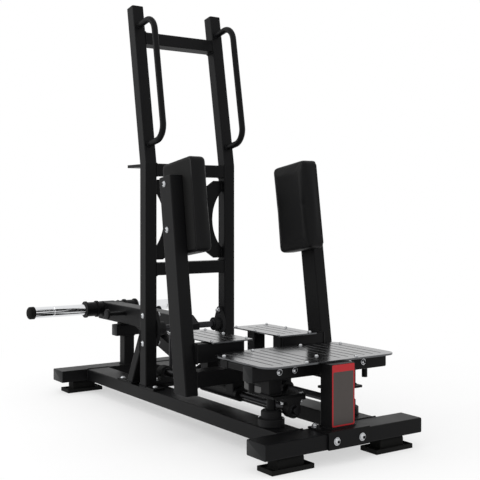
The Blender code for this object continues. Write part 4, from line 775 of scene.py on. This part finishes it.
settle(nuts, "saddle_nuts", zinc, "frame", "zinc_steel")
LEG_X, LEG_Y, LEG_WELDS = 0.160, -0.66985, (0.2023, 0.2592)
LEG_NECK, LEG_NECK_Z = 0.015, 0.1943
MOUNT_EDGE = 0.0015
POST_Y, POST_HALVES = -0.81385, ((0.050, 0, 0), (0, 0.028, 0))
beads = bmesh.new()
for side, hand in ((-1, "left"), (1, "right")):
    softened(f"{hand}_leg_mount", f"{hand}_leg_mount_casting", cast_iron, "cast_black", MOUNT_EDGE)
    for level in LEG_WELDS:
        bead_box(beads, (side * LEG_X, LEG_Y, level), ACROSS, ALONG)
    bead_ring(beads, facing((side * LEG_X, LEG_Y, LEG_NECK_Z), UP), LEG_NECK)
bead_box(beads, (0, POST_Y, SADDLE_TOP), *POST_HALVES)
settle(beads, "platform_weld_beads", powder_coat, "frame", "frame_black")


# Label: a printed vinyl sheet stuck to the front of the post, left bare. It
# has a red head and border round a dark grey field, under a clear film that
# makes it smooth and gives it a quiet gloss.
PRINT_GRAIN = 0.002
POST_FRONT = -0.84185
LABEL_CORNER = 0.004
BORDER_LOW, BORDER_HIGH, BORDER_THICKNESS = (-0.0465, 0.1110), (0.0470, 0.3085), 0.0004
FIELD_LOW, FIELD_HIGH, FIELD_THICKNESS = (-0.0418, 0.1157), (0.0423, 0.2850), 0.0003


def printed_vinyl(name, dark, light, roughness):
    """Vinyl printed in one ink, with the fine specks of the print."""
    sheet, tree, shader, place = start_finish(name, IOR=1.5, Roughness=roughness, Specular_IOR_Level=0.2)
    specks = add(tree, "TexNoise", {"Vector": place, "Scale": 1 / PRINT_GRAIN, "Detail": 2.0}).outputs[0]
    tone = add(tree, "Mix", {0: specks, 6: linear(dark), 7: linear(light)}, data_type="RGBA")
    feed(tree, shader, Base_Color=tone.outputs[2])
    return sheet


def label_sheet(name, finish, low, high, thickness, lift):
    """One flat sheet of the label, between two corners (x, z) on the post."""
    bm = bmesh.new()
    size = (high[0] - low[0], high[1] - low[1])
    corners = bmesh.ops.create_grid(bm, x_segments=1, y_segments=1, size=0.5)["verts"]
    bmesh.ops.scale(bm, vec=(size[0], size[1], 1), verts=corners)
    bmesh.ops.bevel(bm, geom=corners, offset=LABEL_CORNER, segments=5, profile=0.5, affect="VERTICES",
                    material=-1)
    tip = bmesh.ops.extrude_face_region(bm, geom=bm.faces[:])["geom"]
    bmesh.ops.translate(bm, vec=(0, 0, thickness),
                        verts=[part for part in tip if isinstance(part, bmesh.types.BMVert)])
    middle = ((low[0] + high[0]) / 2, POST_FRONT - lift, (low[1] + high[1]) / 2)
    bmesh.ops.transform(bm, matrix=facing(middle, TO_USER), verts=bm.verts)
    settle(bm, name, finish, "frame", "frame_black")


red_vinyl = printed_vinyl("red_printed_vinyl", "#a11d23", "#b3282d", 0.35)
grey_vinyl = printed_vinyl("grey_printed_vinyl", "#3e3937", "#4c4643", 0.40)
label_sheet("label_border", red_vinyl, BORDER_LOW, BORDER_HIGH, BORDER_THICKNESS, 0.0)
label_sheet("label_field", grey_vinyl, FIELD_LOW, FIELD_HIGH, FIELD_THICKNESS, BORDER_THICKNESS)


# Thigh pads: foam on a plywood board, in black vinyl that is pulled tight and
# stapled behind. The vinyl is embossed with a leather grain, and bulges softly
# between its edges.
VINYL_GRAIN = 0.0034
VINYL_CLOUD = 0.080
vinyl, tree, shader, place = start_finish("grained_black_vinyl", IOR=1.5, Specular_IOR_Level=0.11)
# The embossed grain is 1 to 2 mm; it is drawn at 3.4 mm to show.
pebble = add(tree, "TexVoronoi", {"Vector": place, "Scale": 1 / VINYL_GRAIN}, feature="SMOOTH_F1").outputs[0]
cloud = add(tree, "TexNoise", {"Vector": place, "Scale": 1 / VINYL_CLOUD, "Detail": 3.0}).outputs[0]
sheen = add(tree, "MapRange", {"Value": cloud, "To Min": 0.36, "To Max": 0.46})
bump = add(tree, "Bump", {"Height": pebble, "Strength": 0.35, "Distance": 0.0004})
tone = add(tree, "Mix", {0: cloud, 6: linear("#070708"), 7: linear("#0c0c0d")}, data_type="RGBA")
feed(tree, shader, Base_Color=tone.outputs[2], Roughness=sheen.outputs[0], Normal=bump.outputs[0])
# The backing cloth over the board is thin and dead matt.
CLOTH_GRAIN = 0.0015
board_cloth, tree, shader, place = start_finish(
    "black_backing_cloth", IOR=1.5, Roughness=0.85, Specular_IOR_Level=0.2)
weave = add(tree, "TexNoise", {"Vector": place, "Scale": 1 / CLOTH_GRAIN, "Detail": 2.0}).outputs[0]
tone = add(tree, "Mix", {0: weave, 6: linear("#0e0e0e"), 7: linear("#181818")}, data_type="RGBA")
feed(tree, shader, Base_Color=tone.outputs[2])
PAD_DEPTH, PAD_HEIGHT, PAD_THICKNESS = 0.204, 0.340, 0.066
PAD_CORNER, PAD_ROUNDING = 0.020, 0.013
PAD_MIDDLE, PAD_SHIFT, PAD_GAP = 0.651, (0, -0.004, 0), 0.0003
BOARD = 0.015
CLOTH_LOW, CLOTH_HIGH, CLOTH_INSET, CLOTH_EDGE = -0.0002, 0.003, 0.012, 0.0005
# The cover starts this much smaller than the pad, because the foam swells it.
PAD_SLACK = 0.0018
PAD_VOXEL = 0.005
PAD_BULGE = 0.0050
PAD_PRESSURE = 4.0
PAD_TENSION = 60.0
PAD_BENDING = 20.0
SIMULATED_FRAMES = 20
COVER_PASSES = 4


def pad_block(low, high, inset, rounding):
    """A slab of the pad's outline between two heights off the lever, with its inner edge rounded."""
    bm = bmesh.new()
    corners = bmesh.ops.create_grid(bm, x_segments=1, y_segments=1, size=0.5)["verts"]
    bmesh.ops.scale(bm, vec=(PAD_DEPTH - 2 * inset, PAD_HEIGHT - 2 * inset, 1), verts=corners)
    bmesh.ops.bevel(bm, geom=corners, offset=PAD_CORNER - inset / 2, segments=8, profile=0.5,
                    affect="VERTICES", material=-1)
    tip = bmesh.ops.extrude_face_region(bm, geom=bm.faces[:])["geom"]
    top = next(part for part in tip if isinstance(part, bmesh.types.BMFace))
    bmesh.ops.translate(bm, vec=(0, 0, high - low), verts=top.verts)
    bmesh.ops.translate(bm, vec=(0, 0, low), verts=bm.verts)
    bmesh.ops.recalc_face_normals(bm, faces=bm.faces)
    bm.normal_update()
    bmesh.ops.bevel(bm, geom=top.edges[:], offset=rounding, segments=5, profile=0.5, affect="EDGES",
                    material=-1)
    return bm


def remeshed(mesh):
    """Rebuild a mesh in even small faces for the cloth, and give the object that holds it."""
    sack = bpy.data.objects.new("pad_cover", mesh)
    bpy.context.scene.collection.objects.link(sack)
    grid = sack.modifiers.new("grid", "REMESH")
    grid.mode = "VOXEL"
    grid.voxel_size = PAD_VOXEL
    baked = bpy.data.meshes.new_from_object(sack.evaluated_get(bpy.context.evaluated_depsgraph_get()))
    sack.modifiers.clear()
    sack.data = baked
    return sack


def inflated(sack, floor):
    """Blow the cover up as foam does, held where it lies on its board, and give the new mesh."""
    rest = [vert.co.copy() for vert in sack.data.vertices]
    held = sack.vertex_groups.new(name="held")
    held.add([number for number, point in enumerate(rest) if point.z < floor], 1.0, "REPLACE")
    cloth = sack.modifiers.new("cloth", "CLOTH")
    cloth.settings.use_pressure = True
    cloth.settings.uniform_pressure_force = PAD_PRESSURE
    cloth.settings.vertex_group_mass = held.name
    cloth.settings.effector_weights.gravity = 0
    cloth.settings.quality = 6
    cloth.settings.tension_stiffness = cloth.settings.compression_stiffness = PAD_TENSION
    cloth.settings.bending_stiffness = PAD_BENDING
    cloth.collision_settings.use_collision = False
    cloth.point_cache.frame_start = 1
    cloth.point_cache.frame_end = SIMULATED_FRAMES
    for number in range(1, SIMULATED_FRAMES + 1):
        bpy.context.scene.frame_set(number)
    puffed = bpy.data.meshes.new_from_object(sack.evaluated_get(bpy.context.evaluated_depsgraph_get()))
    for vert, start in zip(puffed.vertices, rest):
        move = vert.co - start
        vert.co = start + move * min(1.0, PAD_BULGE / max(move.length, PAD_BULGE / 100))
    bpy.context.scene.frame_set(1)
    smoother = bmesh.new()
    smoother.from_mesh(puffed)
    free = [vert for vert in smoother.verts if vert.co.z > floor]
    for _ in range(COVER_PASSES):
        bmesh.ops.smooth_vert(smoother, verts=free, factor=0.5, use_axis_x=True, use_axis_y=True,
                              use_axis_z=True)
    smoother.to_mesh(puffed)
    smoother.free()
    return puffed


slack = PAD_SLACK
cover = bpy.data.meshes.new("pad_cover")
cushion = pad_block(0.0, PAD_THICKNESS - slack, slack, PAD_ROUNDING)
cushion.to_mesh(cover)
cushion.free()
sack = remeshed(cover)
cover = inflated(sack, BOARD)
bpy.data.objects.remove(sack)
for side, hand in ((-1, "left"), (1, "right")):
    middle = lever_foot + lever_up * PAD_MIDDLE + Vector(PAD_SHIFT)
    middle.x = side * (LEVER_INNER - PAD_GAP)
    inward = Vector((-side, 0, 0))
    stand = Matrix.Translation(middle) @ Matrix(
        (lever_up.cross(inward), lever_up, inward)).transposed().to_4x4()
    bm = bmesh.new()
    bm.from_mesh(cover)
    bmesh.ops.transform(bm, matrix=stand, verts=bm.verts)
    pad = settle(bm, f"{hand}_vinyl_pad", vinyl, f"{hand}_lever", "pad_vinyl", f"{hand}_thigh_pad")
    # No edge of the blown up cover is sharp.
    pad.data.set_sharp_from_angle(angle=math.pi)
    smoothing = pad.modifiers.new("smoothing", "SUBSURF")
    smoothing.levels = smoothing.render_levels = 1
    board = pad_block(CLOTH_LOW, CLOTH_HIGH, CLOTH_INSET, CLOTH_EDGE)
    bmesh.ops.transform(board, matrix=stand, verts=board.verts)
    settle(board, f"{hand}_pad_board", board_cloth, f"{hand}_lever", "pad_vinyl")


# Studio: a pale floor that fades to white, a white room that the camera and
# gloss see, a broad soft lamp from behind the left side and a weak one above.
FLOOR_RADIUS, FLOOR_STEPS = 9.0, 96
FLOOR_GAP, FLOOR_CLOUD = 0.0003, 0.5
FADE_START, FADE_END = 0.5, 1.9
SHADOW_FADE = 0.45


def backdrop_rays(tree):
    """1 for the rays that see plain white, the camera's and those of gloss and glass, or 0."""
    rays = add(tree, "LightPath", {}).outputs
    seen = add(tree, "Math", {0: rays["Is Camera Ray"], 1: rays["Is Glossy Ray"]}, operation="MAXIMUM")
    return add(tree, "Math", {0: seen.outputs[0], 1: rays["Is Transmission Ray"]},
               operation="MAXIMUM").outputs[0]


floor_paint = bpy.data.materials.new("pale_studio_floor")
floor_paint.use_nodes = True
tree = floor_paint.node_tree
shader = tree.nodes["Principled BSDF"]
shader.inputs["Roughness"].default_value = 0.9
shader.inputs["Specular IOR Level"].default_value = 0.1
spot = add(tree, "TexCoord", {}).outputs["Object"]
grain = add(tree, "TexNoise", {"Vector": spot, "Scale": 1 / FLOOR_CLOUD}).outputs[0]
tone = add(tree, "Mix", {0: grain, 6: linear("#f8f8f8"), 7: linear("#fbfbfb")}, data_type="RGBA")
feed(tree, shader, Base_Color=tone.outputs[2])
far = add(tree, "VectorMath", {"Vector": spot}, operation="LENGTH").outputs["Value"]
fade = add(tree, "MapRange", {"Value": far, "From Min": FADE_START, "From Max": FADE_END,
                              "To Min": SHADOW_FADE}).outputs[0]
seen = backdrop_rays(tree)
share = add(tree, "Math", {0: seen, 1: fade}, operation="MULTIPLY").outputs[0]
white = add(tree, "Emission", {"Color": linear("#ffffff"), "Strength": 1.0}).outputs[0]
blend = add(tree, "MixShader", {0: share, 1: shader.outputs[0], 2: white}).outputs[0]
tree.links.new(blend, tree.nodes["Material Output"].inputs["Surface"])
bm = bmesh.new()
bmesh.ops.create_circle(bm, cap_ends=True, segments=FLOOR_STEPS, radius=FLOOR_RADIUS)
bmesh.ops.translate(bm, vec=(0, 0, -FLOOR_GAP), verts=bm.verts)
mesh = bpy.data.meshes.new("studio_floor")
bm.to_mesh(mesh)
bm.free()
mesh.materials.append(floor_paint)
floor = bpy.data.objects.new("studio_floor", mesh)
bpy.context.scene.collection.objects.link(floor)

ROOM_LIGHT = 0.92
room = bpy.data.worlds.new("white_room")
bpy.context.scene.world = room
room.use_nodes = True
tree = room.node_tree
level = add(tree, "MapRange", {"Value": backdrop_rays(tree), "To Min": ROOM_LIGHT, "To Max": 1.0}).outputs[0]
backdrop = tree.nodes["Background"]
backdrop.inputs["Color"].default_value = linear("#ffffff")
tree.links.new(level, backdrop.inputs["Strength"])


def soft_lamp(name, spot, aim, width, height, power):
    """A broad soft lamp that points at a spot."""
    lamp = bpy.data.lights.new(name, "AREA")
    lamp.shape = "RECTANGLE"
    lamp.size, lamp.size_y = width, height
    lamp.energy = power
    holder = bpy.data.objects.new(name, lamp)
    holder.location = spot
    holder.rotation_euler = (Vector(aim) - Vector(spot)).to_track_quat("-Z", "Y").to_euler()
    bpy.context.scene.collection.objects.link(holder)


soft_lamp("side_lamp", spot=(-3.4, 1.8, 2.2), aim=(0, 0, 0.7), width=2.4, height=2.4, power=48)
soft_lamp("overhead_lamp", spot=(-0.8, -1.6, 3.6), aim=(0, -0.2, 0.3), width=2.0, height=2.0, power=12)

bpy.context.scene.view_settings.view_transform = "Standard"
# The camera is solved from the machine's straight edges in the photograph.
CAMERA_PLACE, CAMERA_TURN = (-1.9084, -3.0463, 0.800), math.radians(-34.369)
CAMERA_LENS, CAMERA_SENSOR, CAMERA_SHIFT = 67.89, 36, -0.0615
camera = bpy.data.objects.new("camera", bpy.data.cameras.new("camera"))
camera.location = CAMERA_PLACE
camera.rotation_euler = (math.pi / 2, 0, CAMERA_TURN)
camera.data.lens = CAMERA_LENS
camera.data.sensor_width = CAMERA_SENSOR
camera.data.shift_y = CAMERA_SHIFT
bpy.context.scene.collection.objects.link(camera)
bpy.context.scene.camera = camera
